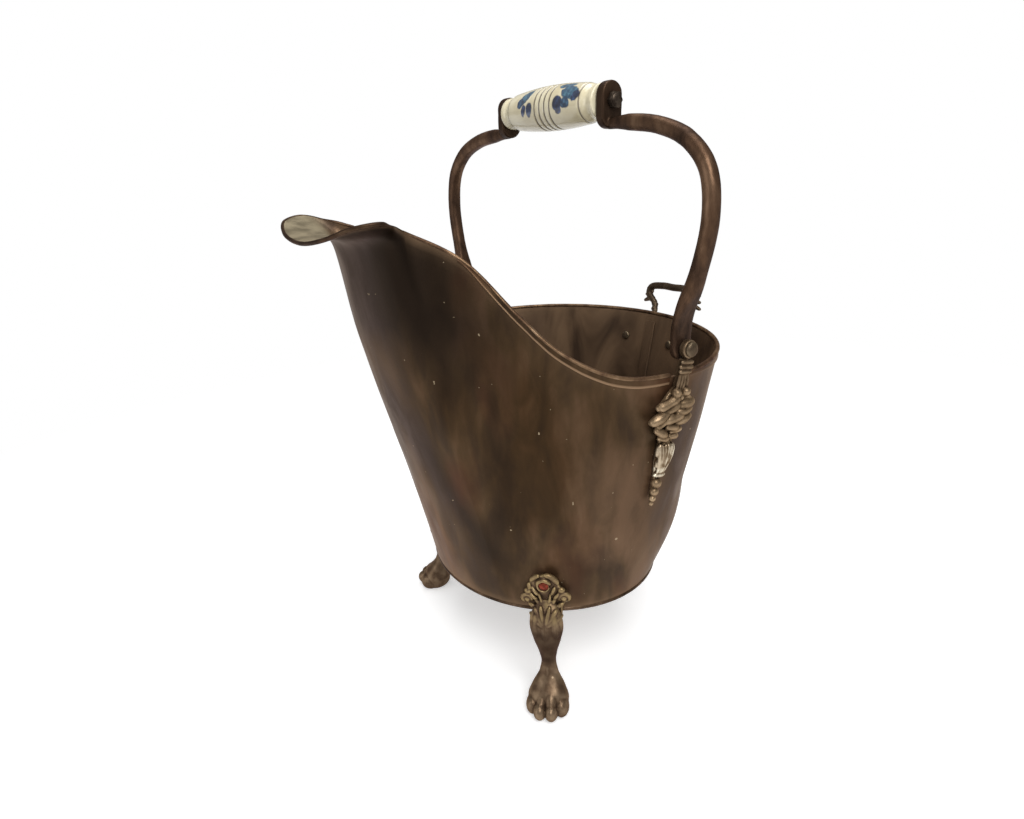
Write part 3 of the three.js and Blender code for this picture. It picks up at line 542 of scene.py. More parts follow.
def blank(made):
    """Empties the node tree of a material or world."""
    made.use_nodes = True
    made.node_tree.nodes.clear()
    return made.node_tree


def surface(name, *layers):
    """A new material: itself, its tree, the object's own coordinates and the piece's attributes by name."""
    made = bpy.data.materials.new(name)
    tree = blank(made)
    painted = [add(tree, "Attribute", attribute_name=layer).outputs["Fac"] for layer in layers]
    return made, tree, add(tree, "TexCoord").outputs["Object"], painted


def covered(tree, colour, *coats):
    """Lays coats over a colour in turn, each where its cover is 1."""
    for cover, over in coats:
        colour = add(tree, "Mix", {0: cover, 6: colour, 7: over}, data_type="RGBA")
    return colour


def shaded(made, inputs):
    """Ends a material with its shader."""
    shader = add(made.node_tree, "BsdfPrincipled", inputs)
    add(made.node_tree, "OutputMaterial", {"Surface": shader})
    return made


def patinated_sheet():
    """Rolled brass sheet under old brown patina: soft upright smears, satin, with a few pale flecks; its
    layers also lay on painted shade, painted highlight and painted light.
    """
    layers = ("gold_and_sheen", "rosy_and_lit", "soot_and_shade", "inside", "lip_face_and_light", "worn")
    made, tree, place, painted = surface("patinated brass sheet", *layers)
    golden_and_sheen, rosy_and_lit, soot_and_shade, inside, lip_face_and_light, worn = painted
    upright = add(tree, "Mapping", {"Vector": place, "Scale": (1, 1, 0.36)})
    clouds = add(tree, "TexNoise", {"Vector": upright, "Scale": per_metre(30), "Detail": 3.0,
                                    "Distortion": 0.7})
    smears = add(tree, "TexNoise", {"Vector": upright, "Scale": per_metre(13), "Detail": 4.0,
                                    "Roughness": 0.55, "Distortion": 0.4})
    warmth = add(tree, "TexNoise", {"Vector": upright, "Scale": per_metre(46), "Detail": 2.0, "W": 3.0},
                 noise_dimensions="4D")
    fine = add(tree, "TexNoise", {"Vector": place, "Scale": per_metre(2.6), "Detail": 4.0,
                                  "Roughness": 0.65})
    specks = add(tree, "TexNoise", {"Vector": place, "Scale": per_metre(3.4), "Detail": 1.0,
                                    "Roughness": 0.4})
    both = add(tree, "Math", {0: smears, 1: 0.45, 2: clouds}, operation="MULTIPLY_ADD")
    brown = add(tree, "ValToRGB", {"Fac": both}, [(0.52, "261c14"), (0.66, "36291d"), (0.76, "453524"),
                                                  (0.86, "554130"), (0.97, "685340")])
    # olive gold streaks and a painted highlight band, laid over the brown
    gold_and_sheen_cloud = add(tree, "Math", {0: golden_and_sheen, 1: 0.2, 2: warmth}, operation="MULTIPLY_ADD")
    gilt = add(tree, "MapRange", {"Value": gold_and_sheen_cloud, "From Min": 0.48, "From Max": 0.68, "To Max": 0.7})
    gold_and_sheen = add(tree, "Mix", {0: gilt, 6: brown, 7: "6b5a26"}, data_type="RGBA", blend_type="OVERLAY")
    red = add(tree, "MapRange", {"Value": warmth, "From Min": 0.46, "From Max": 0.34, "To Max": 0.32})
    # rosy rubbed brass, with painted light on the right side and a painted reflection along the left edge
    rosy_and_lit_cloud = add(tree, "Math", {0: rosy_and_lit, 1: smears}, operation="MULTIPLY")
    rubbed = add(tree, "MapRange", {"Value": rosy_and_lit_cloud, "From Min": 0.12, "From Max": 0.6, "To Max": 0.5})
    # the wall's dark layer is soot plus painted shade under the lip and beside the ear, and goes near black
    # where it is high
    soot_and_shade_cloud = add(tree, "Math", {0: clouds, 1: 0.9, 2: soot_and_shade}, operation="MULTIPLY_ADD")
    black = add(tree, "MapRange", {"Value": soot_and_shade_cloud, "From Min": 0.6, "From Max": 1.12, "To Max": 0.95})
    flecks = add(tree, "MapRange", {"Value": specks, "From Min": 0.79, "From Max": 0.81, "To Max": 0.7})
    lining = add(tree, "ValToRGB", {"Fac": clouds}, [(0.36, "43352a"), (0.5, "5f4c3b"), (0.66, "78614b")])
    # the lip's inside face: its own grey-green tone, made paler as painted light from above
    lip = add(tree, "ValToRGB", {"Fac": smears}, [(0.32, "66604c"), (0.48, "857c66"), (0.62, "968c74")])
    colour = covered(tree, gold_and_sheen, (red, "5c3320"), (rubbed, "6e5643"), (black, "130e0b"), (flecks, "a8977c"),
                     (inside, lining), (lip_face_and_light, lip), (worn, "8a7057"))
    gloss = add(tree, "MapRange", {"Value": smears, "From Min": 0.35, "From Max": 0.65, "To Min": 0.36,
                                   "To Max": 0.5})
    relief = add(tree, "Bump", {"Height": fine, "Distance": 0.1 * MM, "Strength": 0.45})
    return shaded(made, {"Base Color": colour, "Metallic": 0.48, "Roughness": gloss, "Normal": relief,
                         "Specular Tint": "e0bda0", "Specular IOR Level": 0.4})


def mottled_metal(name, stops, metallic, rough, spot_mm, stretch=1.0):
    """A satin metal mottled in browns: its spots measure spot_mm, and the paler ones are rubbed smoother."""
    made, tree, place, (soot_and_shade,) = surface(name, "soot_and_shade")
    along = add(tree, "Mapping", {"Vector": place, "Scale": (1, 1, 1 / stretch)})
    spots = add(tree, "TexNoise", {"Vector": along, "Scale": per_metre(spot_mm), "Detail": 4.0,
                                   "Roughness": 0.6})
    fine = add(tree, "TexNoise", {"Vector": place, "Scale": per_metre(1.5), "Detail": 3.0})
    mottled = add(tree, "ValToRGB", {"Fac": spots}, stops)
    gloss = add(tree, "MapRange", {"Value": spots, "From Min": 0.35, "From Max": 0.65,
                                   "To Min": rough + 0.1, "To Max": rough - 0.06})
    relief = add(tree, "Bump", {"Height": fine, "Distance": 0.1 * MM, "Strength": 0.4})
    colour = covered(tree, mottled, (soot_and_shade, "2c2119"))
    return shaded(made, {"Base Color": colour, "Metallic": metallic, "Roughness": gloss, "Normal": relief,
                         "Specular Tint": "a58c76"})


def cast_brass(name, hollow, middle, high, peak, bright="d9d0bb", rough=0.4):
    """Sand-cast brass: dark wax in the hollows, lighter on the high points as rubbed brass and a painted edge
    highlight, with what plating is left, which on the ears' husks also stands for painted glints.
    """
    made, tree, place, (plating_and_glint, grime) = surface(name, "plating_and_glint", "grime")
    edges = add(tree, "NewGeometry").outputs["Pointiness"]
    spots = add(tree, "TexNoise", {"Vector": place, "Scale": per_metre(7), "Detail": 3.0})
    fine = add(tree, "TexNoise", {"Vector": place, "Scale": per_metre(1.2), "Detail": 3.0, "Roughness": 0.6})
    # pointiness: dark wax in the hollows, lighter on ridges as rubbed brass and a painted edge highlight
    height = add(tree, "Math", {0: spots, 1: 0.11, 2: edges}, operation="MULTIPLY_ADD")
    metal = add(tree, "ValToRGB", {"Fac": height}, [(0.5, hollow), (0.548, middle), (0.59, high),
                                                    (0.64, peak)])
    # plating, and on the ears' husks painted glints, lie on the high points
    high_points = add(tree, "MapRange", {"Value": height, "From Min": 0.55, "From Max": 0.585})
    left = add(tree, "Math", {0: plating_and_glint, 1: high_points}, operation="MULTIPLY")
    gloss = add(tree, "MapRange", {"Value": height, "From Min": 0.5, "From Max": 0.6,
                                   "To Min": rough + 0.15, "To Max": rough - 0.05})
    relief = add(tree, "Bump", {"Height": fine, "Distance": 0.12 * MM, "Strength": 0.5})
    colour = covered(tree, metal, (left, bright), (grime, "2e2018"))
    return shaded(made, {"Base Color": colour, "Metallic": 0.7, "Roughness": gloss, "Normal": relief,
                         "Specular Tint": "b39c84"})


def glazed_pottery():
    """Tin-glazed earthenware: warm cream glaze, blue brushwork under it and brown in the turned lines."""
    made, tree, place, (teal, petal, line) = surface("cream glazed pottery", "teal", "petal", "line")
    cloud = add(tree, "TexNoise", {"Vector": place, "Scale": per_metre(14), "Detail": 3.0})
    brush = add(tree, "TexNoise", {"Vector": place, "Scale": per_metre(3), "Detail": 3.0, "Roughness": 0.6})
    cream = add(tree, "ValToRGB", {"Fac": cloud}, [(0.35, "c9bd9c"), (0.65, "dcd3b6")])
    blues = add(tree, "ValToRGB", {"Fac": brush}, [(0.32, "0c1530"), (0.5, "16264a"), (0.68, "2b4675")])
    teals = add(tree, "ValToRGB", {"Fac": brush}, [(0.32, "173a58"), (0.5, "2b566f"), (0.68, "4a7a8c")])
    petals = covered(tree, blues, (teal, teals))
    colour = covered(tree, cream, (petal, petals), (line, "3c302b"))
    relief = add(tree, "Bump", {"Height": cloud, "Distance": 0.15 * MM, "Strength": 0.25})
    return shaded(made, {"Base Color": colour, "Metallic": 0.0, "Roughness": 0.2, "Normal": relief,
                         "Coat Weight": 0.4, "Coat Roughness": 0.08})


MAKERS = {
    "sheet": patinated_sheet,
    # drawn brass wire rubbed by hands: satin tan, with brown left where no hand goes
    "wire": lambda: mottled_metal("rubbed brass wire", [(0.32, "3a2b20"), (0.45, "594434"), (0.58, "786049"),
                                                        (0.72, "917860")], 0.7, 0.4, 14),
    # the same wire where it only meets the hearth: dull and nearly as brown as the sheet
    "hem": lambda: mottled_metal("dull brass wire", [(0.35, "2d2219"), (0.55, "49392b"), (0.7, "655140")],
                                 0.6, 0.5, 16),
    # forged bronze browned by heat and handling: smooth and satin, streaked along its length
    "arm": lambda: mottled_metal("browned bronze", [(0.3, "2a1e17"), (0.44, "423126"), (0.56, "533e2f"),
                                                    (0.7, "6a5341")], 0.55, 0.42, 13, 2.4),
    # old turned steel, oiled and dark
    "steel": lambda: mottled_metal("dull dark steel", [(0.35, "2b241f"), (0.65, "4d443b")], 0.7, 0.42, 5),
    # soft copper, red and dull
    "copper": lambda: mottled_metal("red copper rivet", [(0.35, "55261b"), (0.65, "8c3a2b")], 0.35, 0.4, 3),
    "ear": lambda: cast_brass("browned cast brass", "261c14", "66543f", "9a8368", "bfab8d"),
    "foot": lambda: cast_brass("gilt cast brass", "261b14", "5a4838", "84705a", "aa967a", "9a8450"),
    "loop": lambda: cast_brass("dark cast brass", "1f1812", "3a2f25", "55483a", "756753", rough=0.45),
    "glaze": glazed_pottery,
}
finishes = {}


def finish_named(look):
    """Makes each material once."""
    if look not in finishes:
        finishes[look] = MAKERS[look]()
    return finishes[look]


# ---------- settings ----------
class ScuttleSettings(bpy.types.PropertyGroup):
    dent: FloatProperty(name="Dents", description="Depth of the wall's soft dents, in millimetres",
                        default=0.35, min=0, max=1)
    cast_grain: FloatProperty(name="Cast grain", description="Finest detail of the castings, in millimetres",
                              default=0.5, min=0.3, max=1.5)
    wall_columns: IntProperty(name="Wall columns", description="Columns of the wall to each rim station",
                              default=8, min=4, max=12)
    motifs: IntProperty(name="Motifs", description="How often the painted sprays repeat round the grip",
                        default=2, min=1, max=4)
    floor: FloatVectorProperty(name="Floor", description="Colour of the studio floor", subtype="COLOR",
                               default=(0.86, 0.86, 0.86), min=0, max=1)


# ---------- operators ----------
def patina_and_light_at(u, t):
    """Where the wall is darkened, olive gold or rosy round the bucket and up it: soot and painted shade under
    the lip, painted shadow beside the ear, olive streaks with a painted highlight band, and rosy rub with
    painted light on the right and a painted reflection at the left edge.
    """
    turn = math.degrees(base_angle(u - 2 * BACK_U if u > BACK_U else u))
    # painted shade: the front of the neck under the lip is darkened
    neck = smooth(0.5, 0.86, t) * smooth(62, 22, abs(turn))
    # a darker band slanting down round the front
    slanting_band = bell(abs(turn) - (44 - 84 * t), 12) * smooth(0.05, 0.18, t) * smooth(0.7, 0.5, t)
    # painted shadow: the wall beside the ear is darkened
    ear_shadow = bell(abs(turn) - 98, 7) * smooth(0.2, 0.4, t) * smooth(0.95, 0.7, t)
    # olive gold streaks, and a painted highlight band down the part of the wall that faces the view
    gold_and_sheen = bell(abs(turn) - 52, 17) * smooth(0.2, 0.42, t) * smooth(0.98, 0.75, t)
    # rosy rubbed brass, and painted light on the right side, toward the key lamp
    rosy_and_lit = bell(abs(turn) - 80, 14) * smooth(0.12, 0.25, t) * smooth(0.85, 0.6, t)
    # painted reflection: a paler band along the wall's left edge
    left_edge_sheen = 0.6 * bell(turn + 24, 16)
    # darkening is soot with painted shade; olive gold carries a painted highlight; rosy rub carries painted
    # light and a painted reflection
    return 0.95 * neck + 0.62 * slanting_band + 0.4 * ear_shadow, gold_and_sheen, rosy_and_lit + left_edge_sheen


class SCUTTLE_OT_wall(bpy.types.Operator):
    """Sheet wall from base to lip, with its soft dents"""
    bl_idname = "scuttle.wall"
    bl_label = "Wall"

    def execute(self, context):
        settings = context.scene.scuttle
        bm = bmesh.new()
        count = 2 * BACK_U * settings.wall_columns
        rings, facts = [], []
        for i in range(count):
            u = 2 * BACK_U * i / count
            length = column(u)[1][-1]
            t0, t1 = 0.8 / length, 1 - 0.9 / length
            outer, inner, fact = [], [], []
            for k in range(WALL_ROWS + 1):
                t = t0 + (t1 - t0) * crowded(u, k / WALL_ROWS)
                p, _, out, _ = wall_frame(u, t)
                fade = min(smooth(0, 0.12, t), smooth(1, 0.9, t))
                dent = settings.dent * fade * (noise.noise(p / 34) + 0.5 * noise.noise(p / 15))
                outer.append(p + out * (SHEET / 2 + dent))
                inner.append(p + out * (dent - SHEET / 2))
                worn = 0.55 * math.exp(-length * (1 - t) / 3) + 0.5 * math.exp(-length * t / 2.5)
                # the inside face of the lip, paler partly as painted light from above
                lip = smooth(-116, -128, p.y) * smooth(304, 318, p.z)
                fact.append((worn, lip, *patina_and_light_at(u, t)))
            rings.append(outer + inner[::-1])
            facts.append(fact + fact[::-1])
        # the last three layers hold soot and painted shade, olive gold and a painted highlight band, and rosy
        # rub and painted light
        names = ("inside", "lip_face_and_light", "worn", "soot_and_shade", "gold_and_sheen", "rosy_and_lit")
        layers = [bm.verts.layers.float.new(name) for name in names]
        for row, fact in zip(loft(bm, rings, closed=True), facts):
            for k, (v, (worn, lip, *stains_and_light)) in enumerate(zip(row, fact)):
                within = 1.0 if k > WALL_ROWS else 0.0
                for layer, value in zip(layers, (within, lip * within, worn * (1 - within * lip), *stains_and_light)):
                    v[layer] = value
        finish("wall_sheet", bm, "sheet", "body", ["body_wall"], bend=50)
        return {"FINISHED"}


class SCUTTLE_OT_wires(bpy.types.Operator):
    """Wired rim, the sheet's edge folded down behind it, and the wire round the base"""
    bl_idname = "scuttle.wires"
    bl_label = "Rolled edges"

    def wire(self, name, start, end, node_name):
        """The sheet's edge rolled round a wire, thin at the lip and fuller behind, with round ends."""
        bm = bmesh.new()
        count = int((end - start) * 12)
        turns = [math.radians(a) for a in range(0, 360, 20)]
        rings, soots = [], []
        for i in range(-WIRE_CAP, count + WIRE_CAP + 1):
            u = start + (end - start) * min(max(i, 0), count) / count
            past = max(-i, i - count, 0)
            _, up, out, side = wall_frame(u, 1)
            reach = math.sin(math.pi / 2 * past / WIRE_CAP)
            away = min(u, 2 * BACK_U - u) if u > 0 else -u
            r = RIM_BEAD_R * (0.62 + 0.13 * smooth(THROAT_STATION, 7, away))
            p = rim_at(u) + (side if i <= 0 else -side) * -r * reach
            r *= max(math.sqrt(1 - reach ** 2), 0.08)
            ripple = 0.05 * noise.noise(p / 6)
            rings.append([p + (out * math.cos(a) + up * math.sin(a)) * r * (1 + ripple) for a in turns])
            soots.append(0.75 * smooth(THROAT_STATION + 1, THROAT_STATION - 1, abs(u)))
        layer = bm.verts.layers.float.new("soot_and_shade")
        for row, soot_and_shade in zip(loft(bm, rings), soots):
            for v in row:
                v[layer] = soot_and_shade
        finish(name, bm, "wire", "body", [node_name], bend=60)

    def fold(self, bm, layer, start, end):
        """The tail of the rolled sheet, lying against the wall and lighter along its lower edge."""
        count = int(abs(end - start) * 14)
        rings = []
        for i in range(count + 1):
            u = start + (end - start) * i / count
            _, up, out, _ = wall_frame(u, 1)
            p = rim_at(u)
            drop = (FOLD_DROP + 0.3 * noise.noise(p / 9)) * (0.45 + 0.55 * smooth(0, 0.14, i / count))
            section = [(0.86, -0.8), (0.86, 0.25 - drop), (1.15, -drop), (1.55, 0.1 - drop),
                       (1.75, 0.6 - drop), (1.6, 1.2 - drop), (1.42, 1.9 - drop), (1.42, -0.8)]
            rings.append([p + out * x + up * y for x, y in section])
        for i, row in enumerate(loft(bm, rings)):
            worn = 0.9 * smooth(0, 0.22, i / count)
            for k, v in enumerate(row):
                v[layer] = worn if 2 <= k <= 5 else 0.0

    def execute(self, context):
        def past_ear(way):
            u, start = ear_u, rim_at(ear_u)
            while (rim_at(u) - start).length < EAR_BREAK:
                u += way * 0.002
            return u

        front, back = past_ear(-1), past_ear(1)
        self.wire("rolled_rim_front", -front, front, "rim_bead_front")
        self.wire("rolled_rim_back", back, 2 * BACK_U - back, "rim_bead_back")
        bm = bmesh.new()
        layer = bm.verts.layers.float.new("worn")
        for start, end in ((FOLD_STATION, front), (-FOLD_STATION, -front), (back, 2 * BACK_U - back)):
            self.fold(bm, layer, start, end)
        finish("rim_fold", bm, "sheet", "body", [], bend=50)
        bm = bmesh.new()
        start = Matrix.Translation((BASE_RX, 0, 0)) @ Matrix.Rotation(math.pi / 2, 4, "X")
        ring = bmesh.ops.create_circle(bm, cap_ends=False, segments=20, radius=BASE_BEAD_R, matrix=start)
        edges = list({e for v in ring["verts"] for e in v.link_edges})
        bmesh.ops.spin(bm, geom=ring["verts"] + edges, cent=(0, 0, 0), axis=(0, 0, 1), dvec=(0, 0, 0),
                       angle=2 * math.pi, steps=128, use_merge=True, use_duplicate=False)
        bmesh.ops.scale(bm, vec=(1, BASE_RY / BASE_RX, 1), verts=bm.verts[:])
        bmesh.ops.translate(bm, vec=(0, 0, BASE_Z), verts=bm.verts[:])
        finish("base_wire", bm, "hem", "body", ["base_bead"])
        return {"FINISHED"}


class SCUTTLE_OT_pan(bpy.types.Operator):
    """Dished bottom of the bucket and the seam strap down its back"""
    bl_idname = "scuttle.pan"
    bl_label = "Base pan and seam"

    def execute(self, context):
        lining = {"inside": lambda p: 1.0}
        play = 0.6
        r = BASE_RX - SHEET / 2 - play
        profile = [(0, 0), (r * 0.5, 0.05), (r - 9, 0), (r - 7.5, 0.5), (r - 5.5, 0.1), (r - 1, 0), (r, 0.8),
                   (r, 2.9), (r - 0.7, 3.1), (r - 1.4, 2.9), (r - 1.4, 2.2), (r - 2.2, 1.4), (r - 5.5, 1.5),
                   (r - 7.5, 1.9), (r - 9, 1.4), (r * 0.5, 1.45), (0, 1.4)]
        bm = bmesh.new()
        turned(bm, [(h, x) for x, h in profile], 128)
        stand_up(bm)
        bmesh.ops.scale(bm, vec=(1, (BASE_RY - SHEET / 2 - play) / r, 1), verts=bm.verts[:])
        bmesh.ops.translate(bm, vec=(0, 0, BASE_Z + BASE_BEAD_R + play), verts=bm.verts[:])
        finish("bottom_pan", bm, "sheet", "body", ["base_pan"], paint=lining)
        bm = bmesh.new()
        rings, steps = [], 24
        section = [(-4.5, 1.35), (4.5, 1.35), (4.6, 1.8), (4.1, 2.3), (-4.1, 2.3), (-4.6, 1.8)]
        for i in range(steps + 1):
            p, _, out, side = wall_frame(BACK_U, 0.19 + 0.77 * i / steps)
            rings.append([p + side * x - out * d for x, d in section])
        loft(bm, rings)
        finish("seam_strap", bm, "sheet", "body", ["back_seam_strap"], paint=lining)
        return {"FINISHED"}


EAR_OUTLINE = [(0, 8), (3.4, 8), (3.8, -7), (7, -11), (10.5, -17), (10.5, -27), (8.5, -35), (5.5, -39),
               (5, -47), (4.4, -58), (2.6, -66), (2.0, -74), (1.4, -82), (0, -85)]
# the drapery's rolled folds, across and up the ear from the rim: start, end, half thickness and lift (mm)
EAR_FOLDS = [
    (-2.4, -13.6, -12.4, -18.6, 3.0, 1.6), (-1, -17.2, -7.6, -21.2, 2.6, 2.2),
    (-7.4, -22.4, -16.2, -28.2, 3.1, 1.4), (-3, -24.6, -11, -31, 2.6, 1.0),
    (1.4, -17.2, 10.8, -16.0, 3.0, 1.8), (5.4, -11.6, 8.4, -14.4, 2.4, 1.0),
    (-5.4, -27.2, 3.6, -24.6, 3.0, 2.4), (1.8, -22.2, 10.8, -20.4, 2.6, 2.0),
    (3.6, -28.2, 11, -25.6, 3.0, 1.6), (-11.4, -34.2, -4.6, -37.2, 2.6, 1.4),
    (-3.4, -31.8, 2.6, -32.6, 2.4, 1.6), (0.6, -35.4, 7.4, -34.0, 1.8, 0.8),
    (-7.6, -39.4, -2.2, -40.2, 2.0, 1.0), (0.4, -39.2, 5.6, -38.6, 1.8, 0.8),
]
# its round gathers and the bead drops: across, up and radius
EAR_GATHERS = ((-3.6, -9.6, 3.1), (3.7, -8.8, 3.0), (0.4, -12.4, 2.2))
EAR_CORNERS = ((-13.4, -19.4, 2.3), (-16.6, -28.6, 2.3), (11.8, -15.4, 2.2), (12.0, -25.6, 2.0))
EAR_DROPS = ((-71.8, 3.7), (-78.0, 3.1), (-83.0, 2.5), (-86.8, 1.7))


class SCUTTLE_OT_ears(bpy.types.Operator):
    """Cast ears: eye, ringed fluted neck, gathered drapery, husk and bead drops"""
    bl_idname = "scuttle.ears"
    bl_label = "Ears"

    def casting(self):
        """The right ear, on a back plane read from the casting it stands for."""
        bm = bmesh.new()
        inverse = (TO_FRAME @ EAR_PLACE).inverted()
        spots = [inverse @ v.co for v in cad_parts["ear_right"].data.vertices]
        depth = min(q.z for q in spots if q.y < -20)
        top = depth + EAR_PLATE
        eye = EAR_PLACE.inverted() @ Vector((EYE_X, PIVOT.y, PIVOT.z))
        placed(bm, Matrix.Translation((0, 0, depth)), slab, both_sides(EAR_OUTLINE)[::-1], EAR_PLATE, 0.5)
        neck = [(3.7, 11), (-3.7, 11), (-3.7, -9), (3.7, -9)]
        placed(bm, Matrix.Translation((0, 0, eye.z - EYE_W / 2)), slab, neck, EYE_W, 0.8)
        for q, half in ((9.6, 4.2), (6.4, 4.6), (3.4, 4.1)):
            roll(bm, (-half, q, eye.z + 1.9), (half, q, eye.z + 1.9), 1.3, blunt=8)
        for k in range(4):
            x = -3.3 + 2.2 * k
            roll(bm, (x, 1.4, eye.z + 1.7), (x * 1.1, -7.0, top + 1.9), 1.0)
        for x, q, r in EAR_GATHERS:
            ball(bm, (x, q, top + 2.6), (r, r, r))
        for x0, q0, x1, q1, r, bow in EAR_FOLDS:
            roll(bm, (x0, q0, top + 1.0), (x1, q1, top + 1.0), r, bow=bow, blunt=6)
        for x, q, r in EAR_CORNERS:
            ball(bm, (x, q, top + 1.0), (r, r, r))
        ball(bm, (0, -51.5, top + 0.2), (5.0, 10.5, 3.0))
        for k in range(-3, 4):
            across, wide = k * 1.9, 1 - abs(k) / 7
            roll(bm, (across, -43.6 - abs(k) * 0.7, top + 1.8 * wide + 0.9),
                 (across * 0.4, -64.4, top + 1.1), 1.25, bow=1.7 * wide)
        for k in (-1, 1):
            ball(bm, (k * 5.6, -48, top + 1.2), (1.8, 4.6, 1.7), (0, 0, k * 9))
            ball(bm, (k * 3.9, -56.4, top + 1.2), (1.4, 3.8, 1.4), (0, 0, k * 14))
        roll(bm, (-3.6, -65.6, top + 1.0), (3.6, -65.6, top + 1.0), 1.7)
        for q, r in EAR_DROPS:
            ball(bm, (0, q, top + 0.4), (r, r * 0.94, r * 0.9))
        move(bm, EAR_PLACE)
        placed(bm, Matrix.Translation((EYE_X, PIVOT.y, PIVOT.z)), turned,
               ring_profile(-EYE_W / 2, EYE_W / 2, EYE_R, 0.5))
        return bm

    def execute(self, context):
        inverse = EAR_PLACE.inverted()

        def plating_and_glint(p):
            """Silvered plating is left on the husk, most on the side that nothing rubs, and on its ring; its
            near-white also stands for painted glints.
            """
            q = inverse @ Vector((abs(p.x), p.y, p.z))
            husk = smooth(-42, -47, q.y) * smooth(-68.6, -67, q.y)
            return husk * (0.35 + 0.65 * smooth(-1.5, 1.5, q.x + 8 * smooth(-58, -64, q.y)))

        def grime(p):
            """The neck is as brown as the arm that rubs beside it."""
            return 0.5 * smooth(-9, -5, (inverse @ Vector((abs(p.x), p.y, p.z))).y)

        right = self.casting()
        for side, bm in {"right": right, "left": mirrored(right)}.items():
            finish(f"cast_ear_{side}", bm, "ear", "body", [f"ear_{side}"],
                   cast=context.scene.scuttle.cast_grain, paint={"plating_and_glint": plating_and_glint, "grime": grime})
        return {"FINISHED"}


def lean_back():
    """Carries the upright bail to its pivot and leans it back."""
    return Matrix.Translation(PIVOT) @ Matrix.Rotation(-math.radians(BAIL_TILT), 4, "X")


class SCUTTLE_OT_bail(bpy.types.Operator):
    """Bail arms with their flat feet and upright tabs"""
    bl_idname = "scuttle.bail"
    bl_label = "Bail arms"

    def arm(self):
        """The right arm: a flat eye, a swelling bow and a tab that holds the rod."""
        top = GRIP_V - ARM_DROP
        path = spline([(ARM_X, 0, 0), (ARM_X, 0, 12), (ARM_X + 2.6, 0, 24), (131.4, 0, 41),
                       (138.4, 0, top - 53), (134.2, 0, top - 27.8), (119.2, 0, top - 12.2),
                       (97.4, 0, top - 3.8), (74, 0, top - 0.6), (GRIP_HALF + 5, 0, top)])

        def sizes(t):
            flat, slim = smooth(0.08, 0.2, t), smooth(0.88, 0.985, t)
            r = ARM_R + (ARM_END_R - ARM_R) * slim
            forged = 0.22 * noise.noise(Vector((t * 38, 0, 4))) * smooth(0.1, 0.2, t)
            return ARM_T / 2 + (r - ARM_T / 2) * flat + forged, ARM_W / 2 + (r - ARM_W / 2) * flat - forged

        def square(t):
            return 5 - 2.7 * smooth(0.1, 0.26, t)

        bm = bmesh.new()
        sweep(bm, evenly(path, 9, 110), sizes, Vector((0, 1, 0)), 28, square)
        placed(bm, Matrix.Translation((ARM_X, 0, 0)), turned,
               ring_profile(-ARM_T / 2, ARM_T / 2, ARM_EYE_R, 0.6))
        w, low, high = TAB_W / 2, GRIP_V - 8.6, GRIP_V + 3.4
        outline = []
        for middle, squash, first in ((high, 1, 0), (low, 0.94, 180)):
            for a in (math.radians(degree) for degree in range(first, first + 181, 12)):
                outline.append((w * math.cos(a), middle + squash * w * math.sin(a)))
        turn = Matrix.Rotation(math.pi / 2, 4, "Z") @ Matrix.Rotation(math.pi / 2, 4, "X")
        placed(bm, Matrix.Translation((GRIP_HALF + GRIP_GAP, 0, 0)) @ turn, slab, outline, TAB_T, 0.9)
        move(bm, lean_back())
        return bm

    def execute(self, context):
        upright = lean_back().inverted()

        def grease(p):
            """The tabs stay dark with handling, and fade into the arms."""
            q = upright @ p
            return 0.72 * smooth(GRIP_HALF + 13, GRIP_HALF + 8, abs(q.x)) * smooth(80, 100, q.z)

        right = self.arm()
        for side, bm in {"right": right, "left": mirrored(right)}.items():
            finish(f"arm_{side}", bm, "arm", "bail", [f"bail_arm_{side}"], cast=0.6, soften=4,
                   paint={"soot_and_shade": grease})
        return {"FINISHED"}


# one painted spray: middle along and round the grip, half length and width (mm), turn in degrees, teal share
SPRAY = {
    "long leaf": (-16.6, -2.6, 8.4, 4.2, -38, 0.8),
    "leaf foot": (-21.2, 1.4, 4.2, 3.6, 0, 0.35),
    "left bud": (-17.4, 6.8, 4.2, 2.6, 112, 0.0),
    "right bud": (-10.6, 6.8, 4.9, 3.3, 104, 0.05),
    "high petal": (24.2, -8.4, 7.8, 2.6, -8, 0.85),
    "great petal": (30.0, -1.8, 8.8, 5.2, 14, 0.9),
    "great edge": (35.4, 0.8, 3.0, 4.2, 20, 0.1),
    "dark petal": (19.6, 4.6, 4.8, 4.8, 0, 0.0),
    "dark tip": (20.4, 9.0, 2.8, 3.0, 20, 0.0),
    "small petal": (26.8, 5.2, 4.2, 3.7, 20, 0.45),
}


